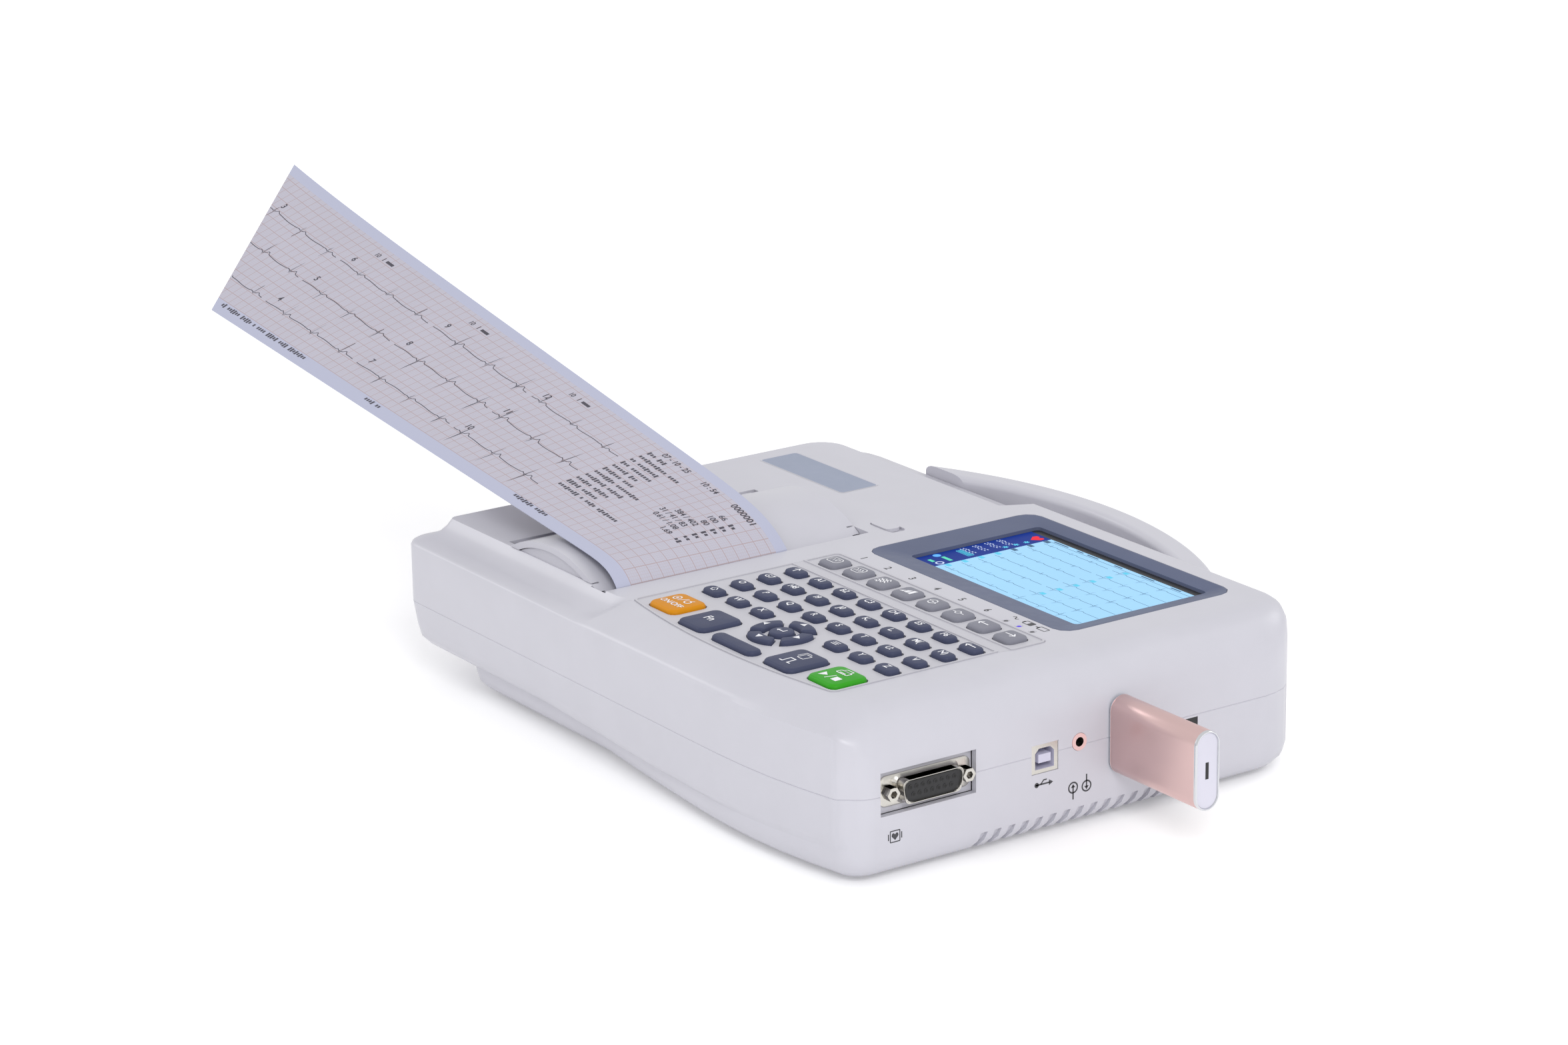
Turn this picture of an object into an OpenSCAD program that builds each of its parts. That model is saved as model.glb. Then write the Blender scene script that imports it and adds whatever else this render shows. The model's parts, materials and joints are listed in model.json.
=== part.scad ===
// Portable three-channel ECG recorder: two moulded shells, a full keyboard, a colour display,
// a strip printer under a hinged arch door, a carry handle and a row of ports on the right.
// Origin: on the flat underside. +X to the user's right, +Y to the back, +Z up. Millimetres.

/* [Case] */
// Overall width of the case
case_w = 298.6; // [296:0.2:310]
// Distance from the origin to the straight part of the front wall
front_d = 108.2; // [107:0.1:114]
// Distance from the origin to the back wall
back_d = 113; // [112.6:0.2:118]
// Height of the top panel above the underside
case_h = 62.3; // [61.5:0.1:66]
// Height of the seam between the two shells
seam_h = 31.6; // [30:0.1:33]
// Wall thickness of both shells
wall = 2.5; // [2.2:0.1:2.8]
// Radius of the two front corners in plan
front_r = 10; // [8:0.5:12]
// Radius of the two back corners in plan
back_r = 22; // [18:0.5:24]
// Width of the rounding along the right-hand edge
side_round = 20; // [17:0.5:21]
// Width of the ledge in front of the printer side
front_ledge = 19.7; // [18:0.1:21]
// Width of the ledge behind the printer side
back_ledge = 15.7; // [14:0.1:17]
// Width of the ledge along the left-hand edge
left_ledge = 4.6; // [4:0.1:6]
// Height of the overhanging body's underside above the plinth's underside
plinth_h = 11.5; // [10.5:0.1:13]
// Set-back of the plinth from the left-hand wall
plinth_left = 32.3; // [28:0.1:36]
// Set-back of the plinth from the front and back walls
plinth_gap = 9.8; // [8:0.1:11]
// Radius of the plinth's bottom edge
plinth_r = 9; // [7:0.5:9.5]

/* [Handle] */
// Radius of the handle's outer bow in plan
handle_r = 191; // [188:0.5:194]
// How far the bow stands out behind the back wall
handle_reach = 25; // [22:0.5:28]
// Radial width of the handle
handle_w = 11.5; // [10:0.5:13]
// Height of the handle
handle_h = 23; // [20:0.5:26]

/* [Keyboard] */
// Column pitch of the letter keys
key_px = 16; // [15.6:0.1:16.4]
// Row pitch of the letter keys
key_py = 12.6; // [12:0.1:13]
// Width of a letter key
key_w = 10.5; // [9.5:0.1:11]
// Depth of a letter key
key_d = 6.5; // [6:0.1:7.5]
// Height of the key tops above the panel
key_proud = 1.9; // [1.4:0.1:2.4]
// Travel of every key
key_travel = 1.2; // [0.8:0.1:1.4]
// Clearance between a key and its hole
key_clear = 0.25; // [0.15:0.05:0.35]

/* [Display] */
// Width of the display bezel
bezel_w = 126.5; // [125:0.5:128]
// Depth of the display bezel
bezel_d = 82; // [81:0.5:83]
// Corner radius of the bezel
bezel_r = 7; // [5:0.5:9]

/* [Printer] */
// Radius of the door's arch
arch_r = 62.8; // [62:0.1:64]
// Thickness of the door
door_t = 2.6; // [2.2:0.1:3]
// Length of the door along the paper's width
door_len = 123; // [122:0.5:124]
// Width of the chart paper
paper_w = 79; // [78:0.5:80]
// Radius of the paper roll
roll_r = 21.2; // [18:0.1:22]
// Radius of the platen roller
platen_r = 5.3; // [5:0.1:5.5]
// Opening angle of the door
door_open = 80; // [60:1:85]

/* [Ports] */
// Spacing of the patient connector's jack screws
jack_pitch = 33.3; // [33.2:0.1:33.5]
// Length of the memory stick outside the case
stick_len = 50; // [40:1:60]

/* [Hidden] */
$fn = 48;
eps = 0.02;
seat = 0.3;                         // gap between seated pieces on different bodies
fit = 0.05;                         // radial clearance of a running fit

// ---- case form -------------------------------------------------------------------------
half_w = case_w / 2;
panel_under = case_h - wall;
arc_n = 6;                          // steps in each plan corner
body_r = 10;                        // bottom edge radius of the overhanging body
split_x = -20;                      // where the printer side meets the key and display side
bow_x = 60;                         // right of this the front wall curves back
bow_r = 380;
pad_r = 3;
pad_back_r = 12;
back_round = 4;
border_y = -86.5;                   // front border of the panel at its two ends
border_bow = 6;                     // extra reach of that border in the middle
border_mid = 54;
border_half = 66;
pad = 1.4;                          // how far the pad's right-hand end stands out
groove = 0.25;                      // depth of the V groove along the seam

// drops below the panel and steps inwards of the three edge profiles, from the wall upwards
ledge_u = [0, 0.03, 0.10, 0.45, 0.68, 0.86, 1];
ledge_drop = [7.3, 6.5, 6.1, 5.7, 4.7, 2.7, 0];
soft_u = [0, 0.04, 0.12, 0.40, 0.70, 0.90, 1];
soft_drop = [7.8, 6.5, 5.7, 3.0, 0.8, 0.1, 0];

function smooth(t) = let (c = min(1, max(0, t))) c * c * (3 - 2 * c);
function mix(a, b, t) = a + (b - a) * t;
function bow(x) = x > bow_x ? pow(x - bow_x, 2) / (2 * bow_r) : 0;
function dir(a) = [cos(a), sin(a)];
function border_front(x) =
    mix(-(front_d - front_ledge),
        border_y - border_bow * max(0, 1 - pow((x - border_mid) / border_half, 2)),
        smooth((x - split_x) / 9));
function border_back(x) = mix(back_d - back_ledge, back_d - back_round, smooth((x - split_x + 4) / 6));
// the low pad on the front wall, which stands prouder towards its right-hand end
function proud(p) = p[1] > 0 ? 0 : pad * smooth((p[0] - bow_x) / 60) * (1 - smooth((p[0] - 142) / 2));
function set_back(x) = plinth_gap * pow(1 - min(1, max(0, (x - split_x) / 140)), 1.6);

// a station: wall point, panel border point, plinth point, outward normal,
// ledge weight, round weight, edge radius, outward corner vector
function front_left() = [for (i = [0:arc_n]) let (a = 180 + 90 * i / arc_n) [
    [-half_w + front_r, -front_d + front_r] + front_r * dir(a),
    [-half_w + left_ledge + pad_r, -front_d + front_ledge + pad_r] + pad_r * dir(a),
    [-half_w + plinth_left + plinth_r, -front_d + plinth_gap + plinth_r] + plinth_r * dir(a),
    dir(a), 1, 0, side_round, [-1, -1]]];
front_xs = [-90, -50, split_x - 6, split_x + 1, split_x + 5, split_x + 9, 0, 12, 32, bow_x,
            76, 92, 108, 124];
plinth_k = (half_w - plinth_left - plinth_r + split_x) / (half_w - front_r + split_x);
border_k = (half_w - side_round - 6) / (half_w - front_r);
function plinth_x(x) = x < split_x ? split_x + (x - split_x) * plinth_k : x;
function front_side() = [for (x = front_xs) let (b = x < 0 ? x : x * border_k) [
    [x, -front_d + bow(x)], [b, border_front(b)],
    [plinth_x(x), -front_d + bow(x) + set_back(x)], [0, -1],
    1 - smooth((x - split_x) / 10), 0, side_round, [0, -1]]];
function front_right() = [for (i = [0:arc_n]) let (
        a = 270 + 90 * i / arc_n,
        w = [half_w - front_r, -front_d + front_r] + front_r * dir(a),
        p = [w[0], w[1] + bow(w[0])]) [
    p, [half_w - side_round - 6, border_y + 6] + 6 * dir(a), p, dir(a),
    0, smooth(i / arc_n), side_round, [1, -1]]];
function back_right() = [for (i = [0:arc_n]) let (
        a = 90 * i / arc_n,
        w = [half_w - back_r, back_d - back_r] + back_r * dir(a)) [
    w, [half_w - side_round - 8, back_d - back_round - 8] + 8 * dir(a), w, dir(a),
    0, 1, mix(side_round, back_round, smooth(i / arc_n)), [1, 1]]];
back_xs = [100, 50, 0, split_x + 2, split_x - 1, split_x - 4, -60, -105];
function back_side() = [for (x = back_xs) [
    [x, back_d], [x, border_back(x)], [plinth_x(x), back_d - set_back(x)], [0, 1],
    1 - smooth((x - split_x + 4) / 6), 1, back_round, [0, 1]]];
function back_left() = [for (i = [0:arc_n]) let (a = 90 + 90 * i / arc_n) [
    [-half_w + back_r, back_d - back_r] + back_r * dir(a),
    [-half_w + left_ledge + pad_back_r, back_d - back_ledge - pad_back_r] + pad_back_r * dir(a),
    [-half_w + plinth_left + plinth_r, back_d - plinth_gap - plinth_r] + plinth_r * dir(a),
    dir(a), 1, 0, side_round, [-1, 1]]];
stations = concat(front_left(), front_side(), front_right(), back_right(), back_side(),
                  back_left());

function with_z(p, z) = [p[0], p[1], z];
// one ring of the upper form: step j of the edge profile, shrunk by inset and lowered by drop
function upper_ring(j, inset, drop) = [for (s = stations) let (
        turn = 15 * j,
        u_open = mix(soft_u[j], 1 - cos(turn), s[5]),
        d_open = mix(soft_drop[j], s[6] * (1 - sin(turn)), s[5]),
        u = mix(u_open, ledge_u[j], s[4]),
        d = mix(d_open, ledge_drop[j], s[4]),
        out = (j == 0 ? proud(s[0]) : 0) - inset)
    with_z(mix(s[0] + out * s[3], s[1] - 0.6 * inset * s[3], u), case_h - d - drop)];
function wall_ring(z, inset) = [for (s = stations) with_z(s[0] + (proud(s[0]) - inset) * s[3], z)];

// a point of the outline moved inwards by d; a corner keeps at least 1 mm of its radius r
function inwards(p, s, r, d) =
    p - min(d, max(0, r - 1)) * s[3] - max(0, d - max(0, r - 1)) * s[7];
// one ring of the lower form, from the underside (0) to the seam (9)
lower_turn = [0, 30, 60, 90];
function lower_ring(j, inset, lift) = [for (s = stations) let (
        gap = norm(s[0] - s[2]),
        r = min(body_r, 0.82 * gap),
        rz = max(4, r),
        turn = j < 4 ? lower_turn[j] : 30 * (j - 5),
        out = (j == 7 ? 0.5 : j > 7 ? 1 : 0) * proud(s[0]),
        p = j < 4 ? inwards(s[2], s, plinth_r, inset + plinth_r * (1 - sin(turn)))
          : j == 4 ? inwards(s[2], s, plinth_r, inset)
          : j < 9 ? inwards(s[0], s, front_r, inset + r * (1.15 - sin(turn)))
          : s[0] - inset * s[3],
        z = j < 4 ? plinth_r * (1 - cos(turn))
          : j == 4 ? plinth_h - 0.3
          : j < 9 ? plinth_h + rz * (1 - cos(turn))
          : seam_h - groove)
    with_z(p + out * s[3], z + lift)];

// solid through a list of rings that run from the bottom up, each with an even number of
// points; both halves of a ring are split alike, so a thin bent ribbon keeps its thickness
module loft(rings) {
    n = len(rings[0]);
    m = len(rings) - 1;
    polyhedron(
        points = [for (r = rings) each r],
        faces = concat(
            [for (i = [0:n / 2 - 2]) [i, i + 1, n - 2 - i, n - 1 - i]],
            [for (b = [0:m - 1], i = [0:n - 1]) let (p = b * n + i, q = b * n + (i + 1) % n)
                each i < n / 2 ? [[p, p + n, q + n], [p, q + n, q]]
                               : [[q, p, p + n], [q, p + n, q + n]]],
            [for (i = [0:n / 2 - 2]) [for (k = [n - 1 - i, n - 2 - i, i + 1, i]) m * n + k]]));
}

// prism that runs along +Y through an outline given in X and Z
module along_y(y0, y1) {
    translate([0, y1, 0]) rotate([90, 0, 0]) linear_extrude(y1 - y0) children();
}
// prism that runs along +X through an outline given in Y and Z
module along_x(x0, x1) {
    translate([x0, 0, 0]) rotate([90, 0, 90]) linear_extrude(x1 - x0) children();
}
function rounded_pts(w, d, r, n = 3) = [for (q = [0:3], i = [0:n])
    [(q == 0 || q == 3 ? 1 : -1) * (w / 2 - r), (q < 2 ? 1 : -1) * (d / 2 - r)]
    + r * dir(90 * q + 90 * i / n)];
function sector_pts(r0, r1, half, n = 6) = concat(
    [for (i = [0:n]) r1 * dir(mix(-half, half, i / n))],
    [for (i = [0:n]) r0 * dir(mix(half, -half, i / n))]);
module slab(w, d, r, z0, z1) {
    translate([0, 0, z0]) linear_extrude(z1 - z0) polygon(rounded_pts(w, d, r));
}

// ---- places of the keyboard ---------------------------------------------------------------
board_z = case_h - 11.3;            // underside of the main board
board_t = 1.6;
board_mid = [58, -38];
board_size = [132, 104];
mat_z = board_z + board_t;
key_top = case_h + key_proud;
key_edge = 0.8;                     // rounding of a key's top edge
key_lip = 0.8;                      // how far a key's flange reaches past its hole
flange_t = 1.3;
flange_z = panel_under - seat - flange_t;
key_x0 = 0.6;
key_y0 = -19.1;
key_r = 1.6;
fn_x0 = -0.7;
fn_pitch = 15.95;
fn_y = 0;
fn_size = [11, 10.4];
nav = [56.4, -64.4];
nav_in = 7;
nav_out = 13;
nav_half = 38;
enter_r = 5;
on_off_place = [4.7, -76.4, 18, 16.8];
fn_place = [29, -78, 18, 19.5];
space_place = [57, -85, 27, 6.6];
copy_place = [85.6, -78, 18.5, 19.5];
start_place = [109.2, -76.4, 18, 16.8];
big_places = [on_off_place, fn_place, space_place, copy_place, start_place];
row_cells = [[for (c = [0:7]) [c, 0]], [for (c = [0:7]) [c, 1]], [for (c = [0:7]) [c, 2]],
             [[0, 3], [1, 3], [2, 3], [5, 3], [6, 3], [7, 3]]];
function cell(c) = [key_x0 + key_px * c[0], key_y0 - key_py * c[1]];

module key_body(profile) {
    loft([for (s = [[flange_z, -key_lip], [flange_z + flange_t, -key_lip],
                    [flange_z + flange_t, 0], [key_top - key_edge, 0],
                    [key_top - 0.3 * key_edge, 0.3 * key_edge], [key_top, key_edge]])
        [for (p = profile(s[1])) with_z(p, s[0])]]);
}
module flat_key(x, y, w, d, r = key_r) {
    translate([x, y, 0])
        key_body(function(e) rounded_pts(w - 2 * e, d - 2 * e, max(0.3, r - e)));
}
module letter_key(c) {
    p = cell(c);
    flat_key(p[0], p[1], key_w, key_d);
}
module big_key(place) {
    flat_key(place[0], place[1], place[2], place[3], 3);
}
module function_key(i) {
    flat_key(fn_x0 + fn_pitch * i, fn_y, fn_size[0], fn_size[1], 2.4);
}
module arc_key(turn) {
    translate([nav[0], nav[1], 0]) rotate(turn)
        key_body(function(e) sector_pts(nav_in + 0.6 * e, nav_out - e, nav_half - 4 * e));
}
module key_holes(c) {
    for (row = row_cells, k = row)
        translate(cell(k)) polygon(rounded_pts(key_w + 2 * c, key_d + 2 * c, key_r + c));
    for (i = [0:7])
        translate([fn_x0 + fn_pitch * i, fn_y])
            polygon(rounded_pts(fn_size[0] + 2 * c, fn_size[1] + 2 * c, 2.4 + c));
    for (b = big_places)
        translate([b[0], b[1]]) polygon(rounded_pts(b[2] + 2 * c, b[3] + 2 * c, 3 + c));
    translate(nav) circle(enter_r + c);
    for (turn = [0:90:270])
        translate(nav) rotate(turn)
            polygon(sector_pts(nav_in - c, nav_out + c, nav_half + 4 * c));
}

// outline of the keyboard plate, whose front edge is a shallow bow
plate_x = [-12, 120];
plate_y = [-85.9, 9.6];
plate_bow = 6;
plate_wide = 1.5;                   // how much wider it is beside the function keys
plate_step = [-12.3, -6];
function plate_front(x) = let (h = (plate_x[1] - plate_x[0]) / 2, m = plate_x[0] + h)
    plate_y[0] - plate_bow * (1 - pow((x - m) / h, 2));
module plate_outline(grow) {
    offset(delta = grow) offset(r = 3, $fn = 24) offset(delta = -3)
        polygon(concat(
            [for (i = [0:12]) let (x = mix(plate_x[0], plate_x[1], i / 12)) [x, plate_front(x)]],
            [[plate_x[1], plate_step[0]], [plate_x[1] + plate_wide, plate_step[1]],
             [plate_x[1] + plate_wide, plate_y[1]], [plate_x[0], plate_y[1]]]));
}
// the part of the plate between two distances along Y
module plate_band(grow, y0, y1) {
    intersection() {
        plate_outline(grow);
        translate([-50, y0]) square([250, y1 - y0]);
    }
}
// the two raised border lines on the plate
module border_lines() {
    difference() {
        plate_band(-0.1, -150, plate_step[0]);
        plate_band(-0.9, -150, plate_step[0] - 0.8);
    }
    difference() {
        plate_band(-0.1, plate_step[1] - 1.2, 50);
        plate_band(-0.9, plate_step[1] - 0.4, 50);
    }
}

// ---- places of the display ------------------------------------------------------------------
bezel_at = [54.25, 61];
lip_in = [12, 9.5];                 // width of the left and right lips
lip_dn = [13, 5.5];                 // depth of the front and back lips
window_w = bezel_w - lip_in[0] - lip_in[1];
window_d = bezel_d - lip_dn[0] - lip_dn[1];
window_at = bezel_at + [(lip_in[0] - lip_in[1]) / 2, (lip_dn[0] - lip_dn[1]) / 2];
lip_drop = 1.9;
glass_top = case_h - 3.3;
glass_t = 1.4;
glass_margin = 3;
module_z = case_h - 12.3;
led_at = [92.8, 11.9];
led_pitch = 8;
led_r = 1.5;

// ---- places of the printer -------------------------------------------------------------------
arch_at = [-66.5, case_h - 54.9];
door_y = [-88.9, -88.9 + door_len];
wall_t = 2;                         // half-moon end walls
bay_y = [door_y[0] + 1 + wall_t, door_y[1] - 1 - wall_t];
bay_x = [-102.6, -26.5];
hinge = [-100, case_h - 2.3];
knuckle_r = 2.1;
pin_r = 1.2;
lip_x = -27.9;                      // right-hand edge of the door
notch_x = -36.5;
paper_x = lip_x + seat;             // left face of the paper in the slot
paper_y = [-83.4, -83.4 + paper_w];
paper_t = 0.3;
platen_at = [-31, case_h - 17.8];
nip = 0.4;                          // gap between the platen and the print head
head_size = [13, 4];
head_turn = 135;                    // direction from the platen to the print head
roll_at = [-66, 36];
core_r = 6;
shaft_r = 2.5;
gear_y = 5.5;                       // middle of the gear train
gear_t = 4;
gear_m = 1;
platen_teeth = 16;
idler_teeth = 20;
pinion_teeth = 12;
idler_turn = 228;                   // direction from the platen gear to the idler
pinion_turn = 205;                  // direction from the idler to the pinion
idler_at = platen_at + gear_m * (platen_teeth + idler_teeth) / 2 * dir(idler_turn);
pinion_at = idler_at + gear_m * (idler_teeth + pinion_teeth) / 2 * dir(pinion_turn);
idler_phase = mesh_phase(platen_teeth, 0, idler_teeth, idler_turn);
pinion_phase = mesh_phase(idler_teeth, idler_phase, pinion_teeth, pinion_turn);
function mesh_phase(za, pa, zb, turn) = turn + 180 - (180 - za * (turn - pa)) / zb;
motor_r = 11;
motor_len = 15;
motor_shaft = 1;
axle_r = 1.5;
cheek_t = 1.6;
cheek_gap = 0.4;
cheek_y = [paper_y[0] - cheek_gap - cheek_t, paper_y[1] + cheek_gap];
bracket_y = gear_y + gear_t / 2 + 0.6;
trough_r = roll_r + 1.5;
latch_at = [-30, door_y[1] + 10.9];
latch_size = [13, 7];
latch_travel = 3;
label_at = [-106.5, 66];
label_size = [59, 18];

// ---- places on the side walls ------------------------------------------------------------------
patient_at = [-65.4, 32.2];
patient_recess = [41.8, 16.3];
recess_depth = 3;
usb_b_at = [-13.3, 30.2];
usb_b_size = [12, 11];
aux_at = [2.4, 33];
aux_r = 3.3;
aux_bore = 1.8;
usb_a_at = [21.3, 32.35];
usb_a_size = [6.6, 14];
stick_size = [11, 30.3];
lan_at = [50, 24];
lan_size = [16, 13.4];
inlet_at = [20, 34];
inlet_size = [30, 20];
earth_at = [48, 34];
earth_r = 3;
earth_len = 10;
port_depth = 14;
vent_pitch = 6.3;
vent_count = 17;
vent_y0 = -44.5;
vent_w = 3;
vent_top = 7.6;
foot_r = 8;
foot_drop = 2;
foot_sink = 1.2;
foot_places = [for (x = [-97.5, 122], y = [-76, 80]) [x, y]];
screw_places = [[-98, -60], [-98, 60], [0, 88], [96, 88], [132, -60], [132, 50], [-14, -84]];
screw_r = 3;
post_places = [[0, -87], [0, 5], [60, 5], [120, 5], [120, -84]];
panel_posts = [cell([0.5, -0.68]), cell([3.5, -0.68]), cell([6.5, -0.68]), cell([0.5, 2.5]),
               cell([6.5, 2.5])];
post_r = 3.2;
battery_mid = [62, -49];
battery_size = [88, 56, 20];
bay_wall = 2;
boss_top = seam_h - 4;

// ---- case pieces -----------------------------------------------------------------------------
module port_cuts(c) {
    translate([half_w - port_depth, patient_at[0], patient_at[1]])
        side_box(patient_recess, port_depth + 5, c);
    translate([half_w - port_depth, usb_b_at[0], usb_b_at[1]]) side_box(usb_b_size, port_depth + 5, c);
    translate([half_w - port_depth, aux_at[0], aux_at[1]])
        rotate([0, 90, 0]) cylinder(r = aux_r + c, h = port_depth + 5);
    translate([half_w - port_depth, usb_a_at[0], usb_a_at[1]]) side_box(usb_a_size, port_depth + 5, c);
    translate([half_w - port_depth, lan_at[0], lan_at[1]]) side_box(lan_size, port_depth + 5, c);
    translate([-half_w - 5, inlet_at[0], inlet_at[1]]) side_box(inlet_size, port_depth + 5, c);
    translate([-half_w - 5, earth_at[0], earth_at[1]])
        rotate([0, 90, 0]) cylinder(r = earth_r + c, h = port_depth + 5);
}
// block of the given width and height that runs along +X for a length, grown by c all round
module side_box(size, length, c = 0) {
    translate([0, -size[0] / 2 - c, -size[1] / 2 - c])
        cube([length, size[0] + 2 * c, size[1] + 2 * c]);
}
module arch_disc(r, y0, y1) {
    along_y(y0, y1) translate(arch_at) circle(r, $fn = 96);
}
module end_wall(y0) {
    intersection() {
        arch_disc(arch_r - door_t - seat, y0, y0 + wall_t);
        along_y(y0, y0 + wall_t) translate([bay_x[0], panel_under]) square([notch_x - bay_x[0], 30]);
    }
}
module top_case() {
    color("white") {
        difference() {
            loft(concat([wall_ring(seam_h, groove), wall_ring(seam_h + groove, 0)],
                        [for (j = [0:6]) upper_ring(j, 0, 0)]));
            loft(concat([wall_ring(seam_h - 1, wall)],
                        [for (j = [0, 2, 4, 6]) upper_ring(j, wall, wall)]));
            translate([0, 0, panel_under - 5]) linear_extrude(20) plate_outline(0.15);
            translate([bezel_at[0], bezel_at[1], 0])
                slab(bezel_w + 0.3, bezel_d + 0.3, bezel_r, panel_under - 5, case_h + 5);
            translate([bay_x[0], bay_y[0], panel_under - 8])
                cube([bay_x[1] - bay_x[0], bay_y[1] - bay_y[0], 20]);
            translate([notch_x, door_y[0] - seat, panel_under - 2])
                cube([bay_x[1] - notch_x, door_len + 2 * seat, 20]);
            for (i = [0:2])
                translate([led_at[0] + led_pitch * i, led_at[1], panel_under - 5])
                    cylinder(r = led_r + fit, h = 20);
            latch_slot();
            translate([label_at[0], label_at[1], 0])
                slab(label_size[0] + 0.4, label_size[1] + 0.4, 1.4, case_h - 0.5, case_h + 5);
            port_cuts(0.1);
        }
        end_wall(door_y[0] + 1);
        end_wall(door_y[1] - 1 - wall_t);
        case_knuckles();
    }
}
hinge_y = [bay_y[0] + 3, bay_y[1] - 3];
knuckle_n = 7;
knuckle_len = (hinge_y[1] - hinge_y[0]) / knuckle_n;
module knuckle_bar(i, r, reach) {
    y0 = hinge_y[0] + knuckle_len * i + 0.15;
    along_y(y0, y0 + knuckle_len - 0.3) {
        translate(hinge) circle(r);
        children();
    }
}
module case_knuckles() {
    difference() {
        for (i = [0:2:knuckle_n - 1])
            knuckle_bar(i, knuckle_r)
                translate([bay_x[0] - 0.5, hinge[1] - 1.2]) square([hinge[0] - bay_x[0] + 0.5, 1.4]);
        along_y(hinge_y[0] - 1, hinge_y[1] + 1) translate(hinge) circle(pin_r + 0.02);
    }
}
module bottom_case() {
    color("gainsboro") {
        difference() {
            loft(concat([for (j = [0:9]) lower_ring(j, 0, 0)], [wall_ring(seam_h, groove)]));
            difference() {
                loft([for (j = [0, 2, 3, 4, 6, 8, 9]) lower_ring(j, wall, wall)]);
                bottom_bosses();
            }
            for (f = foot_places)
                translate([f[0], f[1], -1]) cylinder(r = foot_r + 0.2, h = 1 + foot_sink);
            for (s = screw_places) {
                translate([s[0], s[1], -1]) cylinder(r = screw_r + 0.4, h = 1 + 3.5);
                translate([s[0], s[1], 0]) cylinder(r = 1.7, h = seam_h);
            }
            translate([battery_mid[0], battery_mid[1], 0])
                slab(battery_size[0] + 6.6, battery_size[1] + 6.6, 3, -1, wall + 0.3);
            translate([battery_mid[0], battery_mid[1], 0])
                slab(battery_size[0] + 1, battery_size[1] + 1, 1, 0, battery_size[2] + 9);
            port_cuts(0.1);
            vents();
        }
    }
}
module bottom_bosses() {
    for (s = screw_places) translate([s[0], s[1], 0]) cylinder(r = 4.6, h = boss_top);
    for (p = post_places) translate([p[0], p[1], 0]) cylinder(r = post_r, h = board_z);
    for (f = foot_places) translate([f[0], f[1], 0]) cylinder(r = foot_r + 2, h = wall + 1.2);
    translate([battery_mid[0], battery_mid[1], 0])
        slab(battery_size[0] + 10, battery_size[1] + 10, 4, 0, battery_size[2] + 2);
}
module vents() {
    for (i = [0:vent_count - 1])
        translate([0, vent_y0 + vent_pitch * i, 0])
            along_x(half_w - plinth_r + 1, half_w + 1)
                polygon([[0, -1], [vent_w, -1], [vent_w + 2.6, vent_top], [2.6, vent_top]]);
}
handle_mid = [-1, back_d + handle_reach - handle_r];
handle_z = [case_h - 2 - handle_h, case_h - 2];
module carry_handle() {
    e = 3;
    ri = handle_r - handle_w;
    color("white")
        intersection() {
            translate([handle_mid[0], handle_mid[1], 0])
                rotate_extrude($fn = 180)
                    polygon(concat(
                        [for (i = [0:4]) [handle_r - e, handle_z[0] + e] + e * dir(-90 + 22.5 * i)],
                        [for (i = [0:4]) [handle_r - e, handle_z[1] - e] + e * dir(22.5 * i)],
                        [for (i = [0:4]) [ri + e, handle_z[1] - e] + e * dir(90 + 22.5 * i)],
                        [for (i = [0:4]) [ri + e, handle_z[0] + e] + e * dir(180 + 22.5 * i)]));
            translate([-half_w, back_d, 0]) cube([case_w, 60, case_h]);
        }
}
module keypad_panel() {
    color("white") {
        translate([0, 0, panel_under]) linear_extrude(wall)
            difference() {
                plate_outline(0);
                key_holes(key_clear);
            }
        translate([0, 0, case_h]) linear_extrude(0.4) border_lines();
        translate([0, 0, panel_under - 2.2]) linear_extrude(2.2)
            difference() {
                plate_outline(0);
                plate_outline(-1.4);
                key_holes(key_clear + key_lip + 0.4);
            }
        for (p = panel_posts)
            translate([p[0], p[1], mat_z]) cylinder(r = 2, h = panel_under - mat_z);
    }
}
module lcd_bezel() {
    color("slategray")
        difference() {
            translate([bezel_at[0], bezel_at[1], 0]) {
                slab(bezel_w, bezel_d, bezel_r, panel_under - 5, case_h);
                slab(bezel_w + 4, bezel_d + 4, bezel_r, panel_under - 5, panel_under - seat);
            }
            hull() {
                translate([bezel_at[0], bezel_at[1], 0])
                    slab(bezel_w - 2, bezel_d - 2, bezel_r, case_h, case_h + 1);
                translate([window_at[0], window_at[1], 0])
                    slab(window_w, window_d, 2, case_h - lip_drop, case_h + 1);
            }
            translate([window_at[0], window_at[1], 0])
                slab(window_w, window_d, 2, 0, case_h);
            translate([window_at[0], window_at[1], 0])
                slab(window_w + 2 * glass_margin + 0.4, window_d + 2 * glass_margin + 0.4, 1,
                     0, glass_top);
        }
}
module lcd_window() {
    color("lightcyan", 0.4)
        translate([window_at[0], window_at[1], 0])
            slab(window_w + 2 * glass_margin, window_d + 2 * glass_margin, 1,
                 glass_top - glass_t, glass_top);
}
module lcd_module() {
    color("silver")
        translate([window_at[0], window_at[1], 0]) {
            slab(window_w + 2 * glass_margin - 1, window_d + 2 * glass_margin - 1, 1,
                 module_z, glass_top - glass_t);
            slab(window_w - 20, window_d - 20, 1, module_z - 1.6, module_z);
        }
}
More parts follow.
